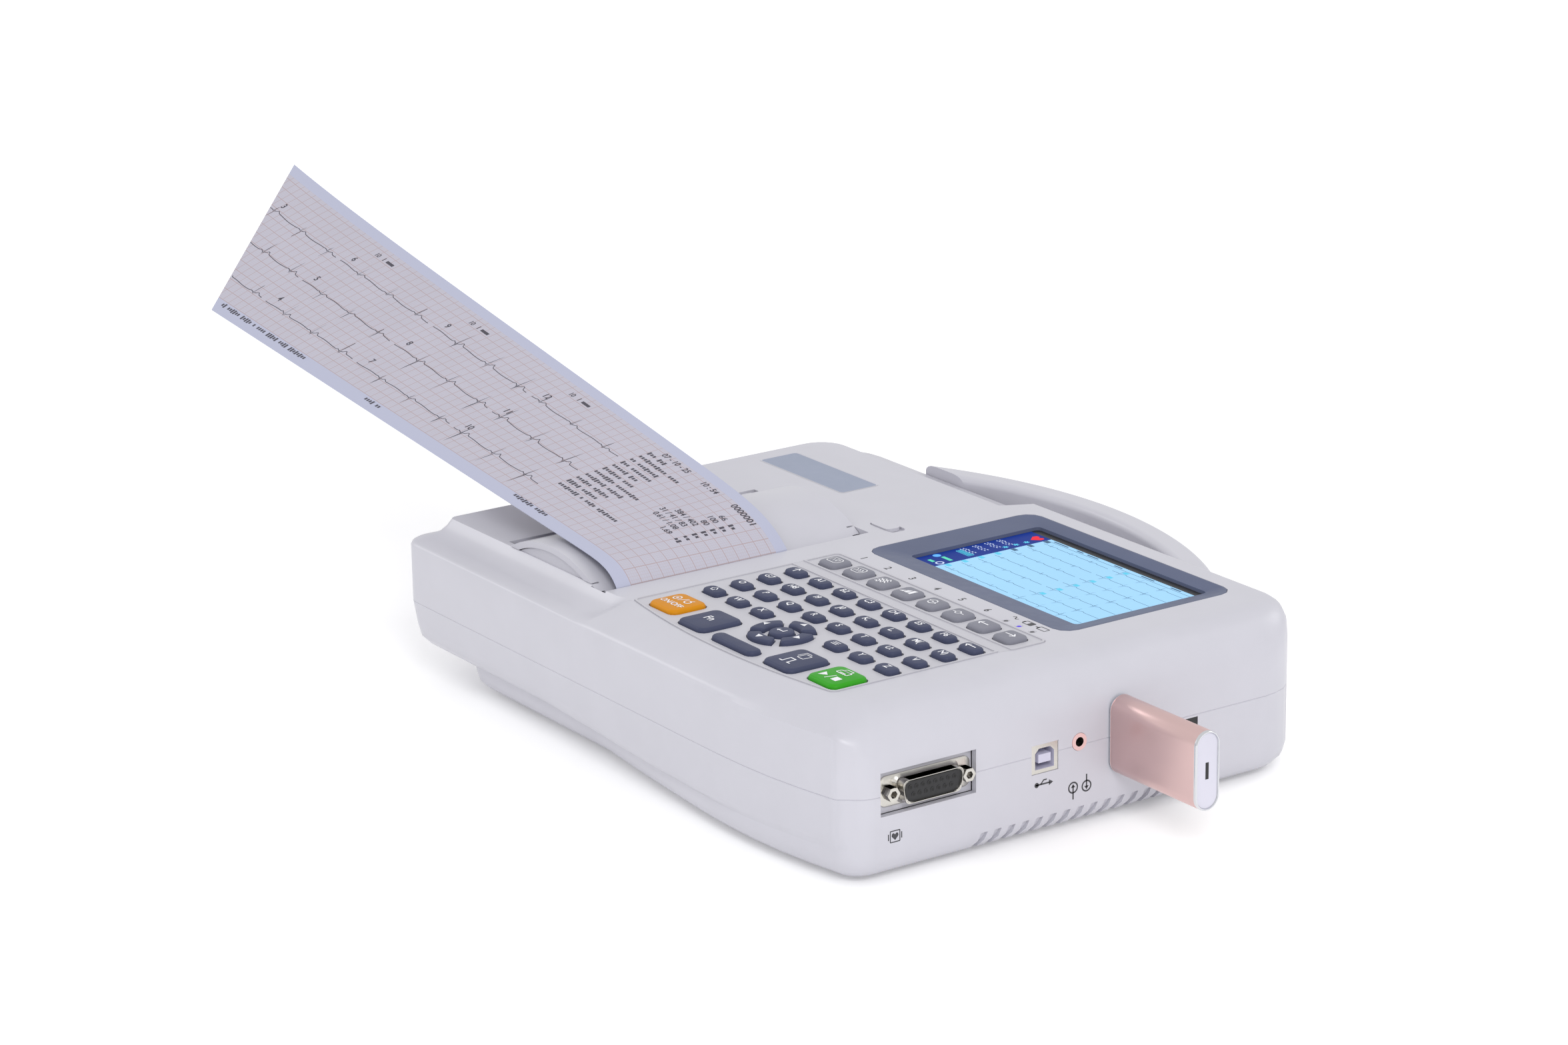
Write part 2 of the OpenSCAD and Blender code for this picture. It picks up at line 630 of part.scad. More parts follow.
module keypad_mat() {
    color("dimgray")
        difference() {
            union() {
                translate([board_mid[0], board_mid[1] - 1.5, 0])
                    slab(board_size[0] - 4, board_size[1] - 7, 3, mat_z, mat_z + 1.4);
                for (row = row_cells, k = row)
                    translate([cell(k)[0], cell(k)[1], mat_z]) dome(2.2);
                for (i = [0:7])
                    translate([fn_x0 + fn_pitch * i, fn_y, mat_z]) dome(3.4);
                for (b = big_places)
                    translate([b[0], b[1], mat_z]) dome(2.8);
                translate([nav[0], nav[1], mat_z]) dome(2.6);
                for (turn = [0:90:270])
                    translate([nav[0], nav[1], mat_z]) rotate(turn) translate([10, 0, 0]) dome(1.8);
            }
            for (p = panel_posts)
                translate([p[0], p[1], 0]) cylinder(r = 2.3, h = case_h);
        }
}
module dome(r) {
    cylinder(r1 = r + 0.5, r2 = r - 0.4, h = 3);
}
module main_board() {
    color("seagreen")
        translate([board_mid[0], board_mid[1], 0])
            slab(board_size[0], board_size[1], 3, board_z, mat_z);
}
module battery_pack() {
    color("steelblue")
        translate([battery_mid[0], battery_mid[1], 0])
            slab(battery_size[0], battery_size[1], 2, wall, wall + battery_size[2]);
}
module battery_door() {
    color("gainsboro")
        translate([battery_mid[0], battery_mid[1], 0])
            slab(battery_size[0] + 6, battery_size[1] + 6, 3, 0, wall);
}

// ---- printer pieces ------------------------------------------------------------------------
function flank_angle(t) = t * 180 / PI - atan(t);
function polar(r, a) = r * dir(a);
// involute spur gear outline with a shortened addendum, one tooth centred on angle 0
function gear_pts(z, m = gear_m, play = 0.35) = let (
        rp = m * z / 2, rb = rp * cos(20), ra = rp + 0.8 * m, rr = rp - 1.1 * m,
        foot = 90 / z - play + flank_angle(tan(20)),
        ta = sqrt(pow(ra / rb, 2) - 1))
    [for (k = [0:z - 1]) let (c = 360 * k / z) each concat(
        [polar(rr, c - foot)],
        [for (i = [0:3]) let (t = ta * i / 3) polar(rb * sqrt(1 + t * t), c - foot + flank_angle(t))],
        [for (i = [3:-1:0]) let (t = ta * i / 3) polar(rb * sqrt(1 + t * t), c + foot - flank_angle(t))],
        [polar(rr, c + foot)])];
module gear(at, z, phase, bore) {
    along_y(gear_y - gear_t / 2, gear_y + gear_t / 2)
        translate(at)
            difference() {
                rotate(phase) polygon(gear_pts(z));
                circle(bore);
            }
}
module printer_chassis() {
    cheek = [[roll_at[0] - trough_r - 2, wall], [platen_at[0] + 7, wall],
             [platen_at[0] + 7, platen_at[1] + 5], [platen_at[0] - 7, platen_at[1] + 5],
             [platen_at[0] - 12, case_h - 8.3], [roll_at[0] - trough_r - 2, case_h - 8.3]];
    color("lightgray") {
        for (y = cheek_y)
            along_y(y, y + cheek_t)
                difference() {
                    polygon(cheek);
                    translate(platen_at) circle(shaft_r + fit);
                }
        along_y(cheek_y[0], cheek_y[1] + cheek_t)
            difference() {
                intersection() {
                    translate(roll_at) circle(trough_r + 2, $fn = 96);
                    translate([roll_at[0] - 60, 0]) square([120, roll_at[1]]);
                }
                translate(roll_at) circle(trough_r, $fn = 96);
            }
        for (s = [0, 1]) {
            y = s == 0 ? cheek_y[0] + cheek_t - eps : cheek_y[1] + eps - 5;
            along_y(y, y + 5) translate(roll_at) circle(core_r - fit);
        }
        translate([roll_at[0] - 16, cheek_y[0], wall])
            cube([platen_at[0] + 7 - roll_at[0] + 16, bracket_y + 1.6 - cheek_y[0], 1.6]);
        along_y(bracket_y, bracket_y + 1.6)
            difference() {
                polygon([[pinion_at[0] - 14, wall], [platen_at[0] + 7, wall],
                         [platen_at[0] + 7, idler_at[1] + 6], [pinion_at[0] - 14, idler_at[1] + 6]]);
                translate(pinion_at) circle(motor_shaft + 1);
            }
        along_y(gear_y - gear_t / 2, bracket_y + eps) translate(idler_at) circle(axle_r);
    }
}
module drive_motor() {
    color("dimgray") {
        y0 = bracket_y + 1.6;
        along_y(y0, y0 + motor_len) translate(pinion_at) circle(motor_r);
        along_y(gear_y - gear_t / 2 - 0.4, y0 + eps) translate(pinion_at) circle(motor_shaft);
    }
}
module motor_pinion() {
    color("ivory") gear(pinion_at, pinion_teeth, pinion_phase, motor_shaft + fit);
}
module idler_gear() {
    color("ivory") gear(idler_at, idler_teeth, idler_phase, axle_r + fit);
}
module platen_roller() {
    color("black") {
        along_y(paper_y[0], paper_y[1]) translate(platen_at) circle(platen_r);
        along_y(cheek_y[0] - 0.2, gear_y + gear_t / 2 + 0.4) translate(platen_at) circle(shaft_r);
        gear(platen_at, platen_teeth, 0, shaft_r - 0.5);
    }
}
module paper_roll() {
    color("white")
        along_y(paper_y[0], paper_y[1])
            translate(roll_at)
                difference() {
                    circle(roll_r, $fn = 96);
                    circle(core_r);
                }
}
module door_profile() {
    difference() {
        translate(arch_at) circle(arch_r, $fn = 96);
        translate(arch_at) circle(arch_r - door_t, $fn = 96);
    }
}
foot_x = arch_at[0] - sqrt(pow(arch_r, 2) - pow(case_h - arch_at[1], 2));
module printer_door() {
    y0 = bay_y[0] + seat;
    y1 = bay_y[1] - seat;
    color("white")
        difference() {
            union() {
                along_y(y0, y1) {
                    intersection() {
                        door_profile();
                        translate([foot_x, case_h - 14]) square([lip_x - foot_x, 40]);
                    }
                }
                for (y = [[door_y[0], y0 + eps], [y1 - eps, door_y[1]]])
                    along_y(y[0], y[1])
                        intersection() {
                            door_profile();
                            union() {
                                translate([foot_x, case_h + seat]) square([60, 30]);
                                translate([notch_x + seat, case_h - 2])
                                    square([lip_x - notch_x - seat, 30]);
                            }
                        }
                for (i = [1:2:knuckle_n - 2])
                    knuckle_bar(i, knuckle_r)
                        translate([hinge[0], case_h - 2.3])
                            square([foot_x + 1.5 - hinge[0], 2]);
                head_rail();
            }
            along_y(hinge_y[0], hinge_y[1]) translate(hinge) circle(pin_r + fit);
        }
}
// web under the arch that carries the print head
module head_rail() {
    back = platen_at + (platen_r + nip + head_size[1]) * dir(head_turn);
    along_y(paper_y[0] + 6, paper_y[1] - 6)
        intersection() {
            translate(arch_at) circle(arch_r - 1, $fn = 96);
            translate(back) polygon([[0, 0], [-3, -3], [-3, 30], [0, 30]]);
        }
}
module print_head() {
    color("silver")
        along_y(paper_y[0] + 0.5, paper_y[1] - 0.5)
            translate(platen_at) rotate(head_turn)
                translate([platen_r + nip, -head_size[0] / 2 + 2]) square([head_size[1], head_size[0]]);
}
module door_hinge_pin() {
    color("silver")
        along_y(hinge_y[0], hinge_y[1]) translate(hinge) circle(pin_r);
}
// the printed strip: a bent ribbon between two long edges that leave the slot together
strip_n = 36;
front_run = 328;
back_run = 394;
function front_edge(s) = [paper_x - s, paper_y[0], case_h + 6.3 + 0.108 * s - 6.5 * exp(-s / 5)];
function back_edge(s) = [paper_x - s, paper_y[1], case_h + 9.6 + 0.1805 * s - 9.5 * exp(-s / 12)
                         + 3 * pow(s / back_run, 8)];
function strip_side(t, push) = let (
        k = pow(t, 1.6),
        f = front_edge(front_run * k), b = back_edge(back_run * k),
        lift = push * (1 - 0.7 * exp(-k * 80)), side = push * exp(-k * 80))
    [[f[0] + side, f[1], f[2] + lift], [b[0] + side, b[1], b[2] + lift]];
module paper_strip() {
    bottom = case_h - 6.5;
    low = [[[paper_x, paper_y[0], bottom], [paper_x, paper_y[1], bottom]],
           [[paper_x + paper_t, paper_y[0], bottom], [paper_x + paper_t, paper_y[1], bottom]]];
    color("white")
        loft(concat(
            [[low[0][0], low[1][0], low[1][1], low[0][1]]],
            [for (i = [0:strip_n]) let (
                a = strip_side(i / strip_n, 0), b = strip_side(i / strip_n, paper_t))
                [a[0], b[0], b[1], a[1]]]));
}
module latch_slot() {
    translate([latch_at[0] + latch_travel / 2, latch_at[1], 0])
        slab(latch_size[0] + latch_travel + 0.6, latch_size[1] + 0.6, 2.5, case_h - 1, case_h + 5);
    translate([latch_at[0] + latch_travel / 2, latch_at[1], 0])
        slab(5 + latch_travel + 0.6, 3, 0.6, panel_under - 5, case_h);
}
module door_latch() {
    color("white")
        translate([latch_at[0], latch_at[1], 0]) {
            slab(latch_size[0], latch_size[1], 2.4, case_h - 1 + 0.1, case_h + 0.5);
            slab(5, 2.4, 0.4, panel_under - 0.6, case_h - 0.5);
            slab(9, latch_size[1], 0.8, panel_under - 1.8, panel_under - 0.3);
        }
}
module label_inlay() {
    color("lightsteelblue")
        translate([label_at[0], label_at[1], 0])
            slab(label_size[0], label_size[1], 1.2, case_h - 0.5, case_h - 0.1);
}

// ---- pieces on the side walls ------------------------------------------------------------
function d_pts(w, h) = let (t = h * tan(10)) [
    [-w / 2 + t / 2, -h / 2], [w / 2 - t / 2, -h / 2], [w / 2 + t / 2, h / 2], [-w / 2 - t / 2, h / 2]];
module d_shape(w, h, r) {
    offset(r = r, $fn = 24) offset(delta = -r) polygon(d_pts(w, h));
}
module patient_connector() {
    floor_x = half_w - recess_depth;
    color("silver")
        difference() {
            union() {
                translate([floor_x - 1.2, patient_at[0] - patient_recess[0] / 2,
                           patient_at[1] - patient_recess[1] / 2])
                    cube([1.2, patient_recess[0], patient_recess[1]]);
                along_x(floor_x - 9, floor_x + 6)
                    translate(patient_at) d_shape(25.6, 9, 2);
                for (s = [-1, 1])
                    along_x(floor_x - 4, floor_x + 5)
                        translate(patient_at + [s * jack_pitch / 2, 0]) circle(2.75, $fn = 6);
            }
            along_x(floor_x + 5.3, floor_x + 7)
                translate(patient_at) d_shape(24.6, 8, 1.6);
            for (s = [-1, 1])
                translate([0, patient_at[0] + s * jack_pitch / 2, patient_at[1]])
                    rotate([0, 90, 0]) translate([0, 0, floor_x - 3]) cylinder(r = 1.4, h = 10);
            for (i = [0:7]) contact_hole([2.77 * (i - 3.5), 1.42], floor_x);
            for (i = [0:6]) contact_hole([2.77 * (i - 3), -1.42], floor_x);
        }
}
module contact_hole(at, floor_x) {
    along_x(floor_x, floor_x + 7) translate(patient_at + at) circle(0.6, $fn = 6);
}
module usb_b_port() {
    color("silver")
        difference() {
            translate([half_w - port_depth, usb_b_at[0], usb_b_at[1]])
                side_box(usb_b_size, port_depth - 0.3);
            along_x(half_w - 9, half_w + 1) translate(usb_b_at) difference() {
                polygon([[-4.3, -4], [4.3, -4], [4.3, 2.2], [2.6, 4], [-2.6, 4], [-4.3, 2.2]]);
                square([5.6, 3.2], center = true);
            }
        }
}
module aux_jack() {
    color("goldenrod")
        difference() {
            translate([half_w - port_depth, aux_at[0], aux_at[1]]) rotate([0, 90, 0])
                cylinder(r = aux_r, h = port_depth + 0.2);
            translate([half_w - port_depth + 2, aux_at[0], aux_at[1]]) rotate([0, 90, 0])
                cylinder(r = aux_bore, h = port_depth);
        }
}
plug_size = [4.5, 12];
plug_len = 11.4;
module usb_a_port() {
    color("silver")
        difference() {
            translate([half_w - port_depth, usb_a_at[0], usb_a_at[1]])
                side_box(usb_a_size, port_depth - 0.3);
            along_x(half_w - 12.5, half_w + 1) translate(usb_a_at) difference() {
                square([5.1, 12.6], center = true);
                square([1.7, 10.8], center = true);
            }
        }
}
module usb_stick() {
    color("rosybrown")
        difference() {
            union() {
                along_x(half_w + seat, half_w + stick_len)
                    translate(usb_a_at) polygon(rounded_pts(stick_size[0], stick_size[1],
                                                            stick_size[0] / 2 - 0.01, 6));
                along_x(half_w - plug_len, half_w + 1)
                    translate(usb_a_at) square(plug_size, center = true);
            }
            along_x(half_w - plug_len - 1, half_w)
                translate(usb_a_at) square([2.3, 11.2], center = true);
            along_x(half_w + stick_len - 0.6, half_w + stick_len + 1)
                translate(usb_a_at) polygon(rounded_pts(stick_size[0] - 1.6, stick_size[1] - 1.6,
                                                        stick_size[0] / 2 - 0.81, 6));
            along_x(half_w + stick_len - 3, half_w + stick_len + 1)
                translate(usb_a_at) square([1.6, 6.5], center = true);
        }
}
module lan_port() {
    color("dimgray")
        difference() {
            translate([half_w - port_depth, lan_at[0], lan_at[1]]) side_box(lan_size, port_depth - 0.3);
            along_x(half_w - 12, half_w + 1) translate(lan_at) {
                translate([-5.9, -3.4]) square([11.8, 8.2]);
                translate([-3, -5.2]) square([6, 3]);
            }
        }
}
module status_leds() {
    color("white")
        for (i = [0:2])
            translate([led_at[0] + led_pitch * i, led_at[1], mat_z]) {
                cylinder(r = led_r, h = case_h - mat_z);
                translate([0, 0, case_h - mat_z]) scale([1, 1, 0.4]) sphere(led_r);
            }
}
module rubber_feet() {
    color("darkgray")
        for (f = foot_places)
            translate([f[0], f[1], 0]) rotate_extrude()
                polygon([[0, -foot_drop], [foot_r - 1.4, -foot_drop], [foot_r - 0.4, -foot_drop + 0.7],
                         [foot_r, 0], [foot_r, foot_sink], [0, foot_sink]]);
}
module case_screws() {
    color("silver")
        for (s = screw_places)
            translate([s[0], s[1], 0])
                difference() {
                    union() {
                        translate([0, 0, 1.3]) cylinder(r = screw_r, h = 2.2);
                        translate([0, 0, 3]) cylinder(r = 1.5, h = boss_top - 5);
                    }
                    for (t = [0, 90]) rotate(t) translate([-2, -0.4, 0]) cube([4, 0.8, 2.4]);
                }
}
module ac_inlet() {
    color("black")
        difference() {
            union() {
                translate([-half_w - 0.1, inlet_at[0], inlet_at[1]]) side_box(inlet_size, 18);
                translate([-half_w - 1.5, inlet_at[0], inlet_at[1]])
                    side_box(inlet_size + [3, 3], 1.5);
            }
            along_x(-half_w - 3, -half_w + 14)
                translate(inlet_at) difference() {
                    polygon([[-12, -8], [12, -8], [12, 4], [8, 8], [-8, 8], [-12, 4]]);
                    for (b = [[-7, -1], [0, 2.5], [7, -1]]) translate(b) square([2, 4], center = true);
                }
            along_x(-half_w - 3, -half_w + 3) translate(inlet_at) square([23, 15], center = true);
        }
}
module ground_terminal() {
    color("silver") {
        translate([-half_w + 6, earth_at[0], earth_at[1]])
            rotate([0, -90, 0]) cylinder(r = earth_r, h = earth_len + 6);
        translate([-half_w, earth_at[0], earth_at[1]])
            rotate([0, -90, 0]) cylinder(r = 5.5, h = 1.5, $fn = 6);
    }
}

// ---- keys -------------------------------------------------------------------------------------
module row_of(row, first, last) {
    for (i = [first:last]) letter_key(row_cells[row][i]);
}
module key_id() { color("darkgray") function_key(0); }
module key_speed() { color("darkgray") function_key(1); }
module key_filter() { color("darkgray") function_key(2); }
module key_gain() { color("darkgray") function_key(3); }
module key_mode() { color("darkgray") function_key(4); }
module key_reset() { color("darkgray") function_key(5); }
module key_page_back() { color("darkgray") function_key(6); }
module key_page_on() { color("darkgray") function_key(7); }
module key_esc() { color("darkslategray") letter_key([0, 0]); }
module key_backspace() { color("darkslategray") letter_key([7, 0]); }
module key_caps() { color("darkslategray") letter_key([0, 3]); }
module key_menu() { color("darkslategray") letter_key([5, 3]); }
module keys_a_to_f() { color("darkslategray") row_of(0, 1, 6); }
module keys_g_to_n() { color("darkslategray") row_of(1, 0, 7); }
module keys_o_to_v() { color("darkslategray") row_of(2, 0, 7); }
module keys_w_to_z() {
    color("darkslategray") {
        row_of(3, 1, 2);
        row_of(3, 4, 5);
    }
}
module key_right() { color("darkslategray") arc_key(0); }
module key_up() { color("darkslategray") arc_key(90); }
module key_left() { color("darkslategray") arc_key(180); }
module key_down() { color("darkslategray") arc_key(270); }
module key_enter() {
    color("darkslategray") translate([nav[0], nav[1], 0])
        rotate_extrude()
            polygon([[0, flange_z], [enter_r + key_lip, flange_z], [enter_r + key_lip, flange_z + flange_t],
                     [enter_r, flange_z + flange_t], [enter_r, key_top - key_edge],
                     [enter_r - 0.3 * key_edge, key_top - 0.3 * key_edge],
                     [enter_r - key_edge, key_top], [0, key_top]]);
}
module key_on_off() { color("orange") big_key(on_off_place); }
module key_fn() { color("darkslategray") big_key(fn_place); }
module key_space() { color("darkslategray") big_key(space_place); }
module key_copy() { color("darkslategray") big_key(copy_place); }
module key_start_stop() { color("limegreen") big_key(start_place); }

top_case();
bottom_case();
carry_handle();
keypad_panel();
lcd_bezel();
lcd_window();
lcd_module();
keypad_mat();
main_board();
battery_pack();
battery_door();
printer_chassis();
drive_motor();
print_head();
door_hinge_pin();
label_inlay();
patient_connector();
usb_b_port();
aux_jack();
usb_a_port();
lan_port();
status_leds();
rubber_feet();
case_screws();
ac_inlet();
ground_terminal();
printer_door();
paper_strip();
platen_roller();
idler_gear();
motor_pinion();
paper_roll();
door_latch();
usb_stick();
key_id();
key_speed();
key_filter();
key_gain();
key_mode();
key_reset();
key_page_back();
key_page_on();
key_esc();
key_caps();
key_menu();
key_backspace();
key_left();
key_right();
key_up();
key_down();
key_enter();
key_on_off();
key_fn();
key_space();
key_copy();
key_start_stop();
keys_a_to_f();
keys_g_to_n();
keys_o_to_v();
keys_w_to_z();
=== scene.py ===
"""Looks of the ECG recorder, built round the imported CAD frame. All helper sizes are in millimetres."""
import bpy
import bmesh
import json
import math
import random
from mathutils import Matrix, Vector
from mathutils.bvhtree import BVHTree
from mathutils.geometry import barycentric_transform

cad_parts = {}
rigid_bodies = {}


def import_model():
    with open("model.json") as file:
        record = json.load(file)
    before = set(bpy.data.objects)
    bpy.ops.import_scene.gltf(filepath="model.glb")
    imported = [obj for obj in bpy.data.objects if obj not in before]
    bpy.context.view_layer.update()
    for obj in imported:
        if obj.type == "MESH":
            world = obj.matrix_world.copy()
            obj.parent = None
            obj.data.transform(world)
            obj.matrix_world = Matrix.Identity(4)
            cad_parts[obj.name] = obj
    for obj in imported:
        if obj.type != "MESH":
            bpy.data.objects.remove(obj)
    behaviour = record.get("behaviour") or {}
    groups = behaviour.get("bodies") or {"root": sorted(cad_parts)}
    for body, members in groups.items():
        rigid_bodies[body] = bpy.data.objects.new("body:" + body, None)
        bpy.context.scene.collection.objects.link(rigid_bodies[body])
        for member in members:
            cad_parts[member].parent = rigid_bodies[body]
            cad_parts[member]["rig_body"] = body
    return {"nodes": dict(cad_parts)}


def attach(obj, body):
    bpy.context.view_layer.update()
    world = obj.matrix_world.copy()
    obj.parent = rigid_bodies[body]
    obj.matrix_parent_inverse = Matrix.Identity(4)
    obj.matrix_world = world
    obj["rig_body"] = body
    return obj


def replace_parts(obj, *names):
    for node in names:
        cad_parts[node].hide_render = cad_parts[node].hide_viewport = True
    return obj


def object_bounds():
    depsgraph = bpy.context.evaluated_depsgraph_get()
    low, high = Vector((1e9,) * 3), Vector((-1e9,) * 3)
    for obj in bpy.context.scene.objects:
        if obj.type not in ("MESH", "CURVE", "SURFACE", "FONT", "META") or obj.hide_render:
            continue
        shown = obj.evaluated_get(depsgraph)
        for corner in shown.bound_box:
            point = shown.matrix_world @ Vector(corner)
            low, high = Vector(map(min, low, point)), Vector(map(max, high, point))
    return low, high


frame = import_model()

MM = 0.001
cad_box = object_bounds()


def mix(a, b, t):
    return a + (b - a) * t


def smooth(t):
    c = min(1.0, max(0.0, t))
    return c * c * (3 - 2 * c)


def polar(a):
    return Vector((math.cos(a), math.sin(a)))


def add_object(name, data):
    made = bpy.data.objects.new(name, data)
    bpy.context.scene.collection.objects.link(made)
    return made


# ---- camera, light and floor ----
VIEW_AZ, VIEW_EL, VIEW_ROLL = (math.radians(a) for a in (55.757, 17.377, -0.874))
VIEW_RIGHT, VIEW_UP, VIEW_DIST, VIEW_BASE = -20.675, 43.808, 1726.021, 33.67
LENS = 101.8


def make_camera():
    sa, ca, se, ce = math.sin(VIEW_AZ), math.cos(VIEW_AZ), math.sin(VIEW_EL), math.cos(VIEW_EL)
    back = Vector((sa * ce, -ca * ce, se))
    right = Vector((ca, sa, 0))
    up = back.cross(right)
    side = right * math.cos(VIEW_ROLL) + up * math.sin(VIEW_ROLL)
    top = up * math.cos(VIEW_ROLL) - right * math.sin(VIEW_ROLL)
    place = (side * VIEW_RIGHT + top * VIEW_UP + back * VIEW_DIST + Vector((0, 0, VIEW_BASE))) * MM
    data = bpy.data.cameras.new("camera")
    data.lens, data.sensor_width, data.clip_start, data.clip_end = LENS, 36, 0.05, 50
    cam = add_object("camera", data)
    cam.matrix_world = Matrix.Translation(place) @ Matrix((side, top, back)).transposed().to_4x4()
    bpy.context.scene.camera = cam


LIGHTS = (("key_light", (1.7, -0.8, 1.3), (0, 0, 0.03), 0.9, 16),
          ("fill_light", (-1.4, -1.5, 0.5), (-0.1, 0, 0.05), 1.2, 1.6),
          ("rim_light", (0.2, 1.7, 1.2), (0, 0, 0.05), 0.8, 4),
          ("edge_light", (-1.9, -0.7, 1.3), (0, 0, 0.05), 0.6, 4))
WORLD_STRENGTH, FLOOR_GLOW, FLOOR_HALF = 0.87, 0.14, 6


def area_light(name, place, aim, size, power):
    data = bpy.data.lights.new(name, "AREA")
    data.shape, data.size, data.energy = "DISK", size, power
    lamp = add_object(name, data)
    lamp.location = place
    lamp.rotation_mode = "QUATERNION"
    lamp.rotation_quaternion = (Vector(aim) - Vector(place)).to_track_quat("-Z", "Y")


def make_studio():
    world = bpy.data.worlds.new("studio")
    world.use_nodes = True
    back = world.node_tree.nodes["Background"]
    back.inputs["Color"].default_value = (1, 1, 1, 1)
    back.inputs["Strength"].default_value = WORLD_STRENGTH
    bpy.context.scene.world = world
    for light in LIGHTS:
        area_light(*light)
    bpy.context.scene.view_settings.view_transform = "Standard"
    me = bpy.data.meshes.new("floor")
    corners = [(x * FLOOR_HALF, y * FLOOR_HALF, 0) for x, y in ((-1, -1), (1, -1), (1, 1), (-1, 1))]
    me.from_pydata(corners, [], [(0, 1, 2, 3)])
    floor = add_object("floor", me)
    floor.location.z = cad_box[0].z
    me.materials.append(finish("floor_white", (0.95, 0.95, 0.95), 0.8, wander=0.005, grain=(30, 0.02),
                               Emission_Color=(1, 1, 1, 1), Emission_Strength=FLOOR_GLOW))


# ---- materials ----
def new_material(name):
    mat = bpy.data.materials.new(name)
    mat.use_nodes = True
    tree = mat.node_tree
    return mat, tree.nodes["Principled BSDF"], tree.nodes.new, tree.links.new


def finish(name, base, rough, metal=0.0, wander=0.03, grain=(900, 0.06), patch=60,
           rough_wander=0.08, stretch=(1, 1, 1), **sockets):
    """A moulded, painted or metal surface: slow colour and gloss changes and a fine surface grain."""
    mat, out, add, link = new_material(name)
    at, scale = add("ShaderNodeTexCoord"), add("ShaderNodeMapping")
    scale.inputs["Scale"].default_value = stretch
    link(at.outputs["Object"], scale.inputs["Vector"])

    def noise(size, detail=3.0):
        n = add("ShaderNodeTexNoise")
        n.inputs["Scale"].default_value = size
        n.inputs["Detail"].default_value = detail
        link(scale.outputs["Vector"], n.inputs["Vector"])
        return n.outputs["Fac"]

    ramp = add("ShaderNodeValToRGB")
    dark, light = ramp.color_ramp.elements
    dark.position, light.position = 0.3, 0.7
    dark.color = (*[c * (1 - wander) for c in base], 1)
    light.color = (*[min(1, c * (1 + wander)) for c in base], 1)
    link(noise(patch), ramp.inputs["Fac"])
    link(ramp.outputs["Color"], out.inputs["Base Color"])
    gloss = add("ShaderNodeMapRange")
    gloss.inputs["To Min"].default_value = max(0.02, rough - rough_wander)
    gloss.inputs["To Max"].default_value = rough + rough_wander
    link(noise(patch * 4), gloss.inputs["Value"])
    link(gloss.outputs["Result"], out.inputs["Roughness"])
    bump = add("ShaderNodeBump")
    bump.inputs["Strength"].default_value = grain[1]
    bump.inputs["Distance"].default_value = 0.0002
    link(noise(grain[0], 5.0), bump.inputs["Height"])
    link(bump.outputs["Normal"], out.inputs["Normal"])
    out.inputs["Metallic"].default_value = metal
    for key, value in sockets.items():
        out.inputs[key.replace("_", " ")].default_value = value
    return mat


def glow(name, colour, strength):
    """A lit surface of the screen or a lamp, with a slight change in brightness."""
    mat, out, add, link = new_material(name)
    out.inputs["Base Color"].default_value = (*[c * 0.3 for c in colour], 1)
    at, n, ramp = add("ShaderNodeTexCoord"), add("ShaderNodeTexNoise"), add("ShaderNodeValToRGB")
    n.inputs["Scale"].default_value = 25
    link(at.outputs["Object"], n.inputs["Vector"])
    dark, light = ramp.color_ramp.elements
    dark.color, light.color = (*[c * 0.93 for c in colour], 1), (*colour, 1)
    link(n.outputs["Fac"], ramp.inputs["Fac"])
    link(ramp.outputs["Color"], out.inputs["Emission Color"])
    out.inputs["Emission Strength"].default_value = strength
    out.inputs["Specular IOR Level"].default_value = 0.08
    return mat


def plastic(name, base, rough, wander, grain, shine, **more):
    """Moulded plastic: grain is its scale and strength, shine the level of its clear reflection."""
    return finish(name, base, rough, wander=wander, grain=grain, Specular_IOR_Level=shine, **more)


BODY = plastic("body_white", (0.525, 0.52, 0.575), 0.33, 0.012, (1500, 0.02), 0.45, rough_wander=0.015)
PANEL = plastic("panel_white", (0.51, 0.505, 0.55), 0.42, 0.012, (1800, 0.03), 0.35, rough_wander=0.03)
SLATE = plastic("key_slate", (0.058, 0.066, 0.118), 0.42, 0.05, (2500, 0.10), 0.1)
BEZEL = plastic("bezel_slate", (0.112, 0.130, 0.205), 0.38, 0.04, (2200, 0.12), 0.1)
GREY = plastic("key_grey", (0.215, 0.217, 0.26), 0.42, 0.04, (2500, 0.10), 0.1)
ORANGE = plastic("key_orange", (0.60, 0.235, 0.006), 0.40, 0.04, (2500, 0.08), 0.12)
GREEN = plastic("key_green", (0.035, 0.32, 0.015), 0.40, 0.05, (2500, 0.08), 0.12)
INK = finish("legend_white", (0.80, 0.80, 0.84), 0.5, wander=0.02)
BLACK = finish("black_plastic", (0.012, 0.012, 0.014), 0.45, wander=0.1)
# near-black painted shade that stands for the depth of holes and deep sockets
HOLE_SHADE = finish("contact_hole", (0.003, 0.003, 0.003), 0.6, wander=0.1)
GREY_INK = finish("legend_grey", (0.045, 0.045, 0.052), 0.5, wander=0.05)
NICKEL = finish("nickel", (0.62, 0.60, 0.56), 0.24, metal=1.0, wander=0.05, grain=(1200, 0.05))
BRIGHT = finish("bright_rim", (0.66, 0.67, 0.70), 0.16, metal=1.0, wander=0.03, grain=(1200, 0.03))
LABEL = finish("bare_label", (0.275, 0.31, 0.41), 0.42, wander=0.02, Specular_IOR_Level=0.3)
BOARD = finish("board_green", (0.02, 0.16, 0.07), 0.4, wander=0.1)
RUBBER = finish("foot_rubber", (0.22, 0.22, 0.23), 0.7, wander=0.06, grain=(1500, 0.15))
CELL = finish("battery_wrap", (0.05, 0.12, 0.30), 0.35, wander=0.05)
IVORY = finish("gear_ivory", (0.75, 0.72, 0.62), 0.45, wander=0.04)
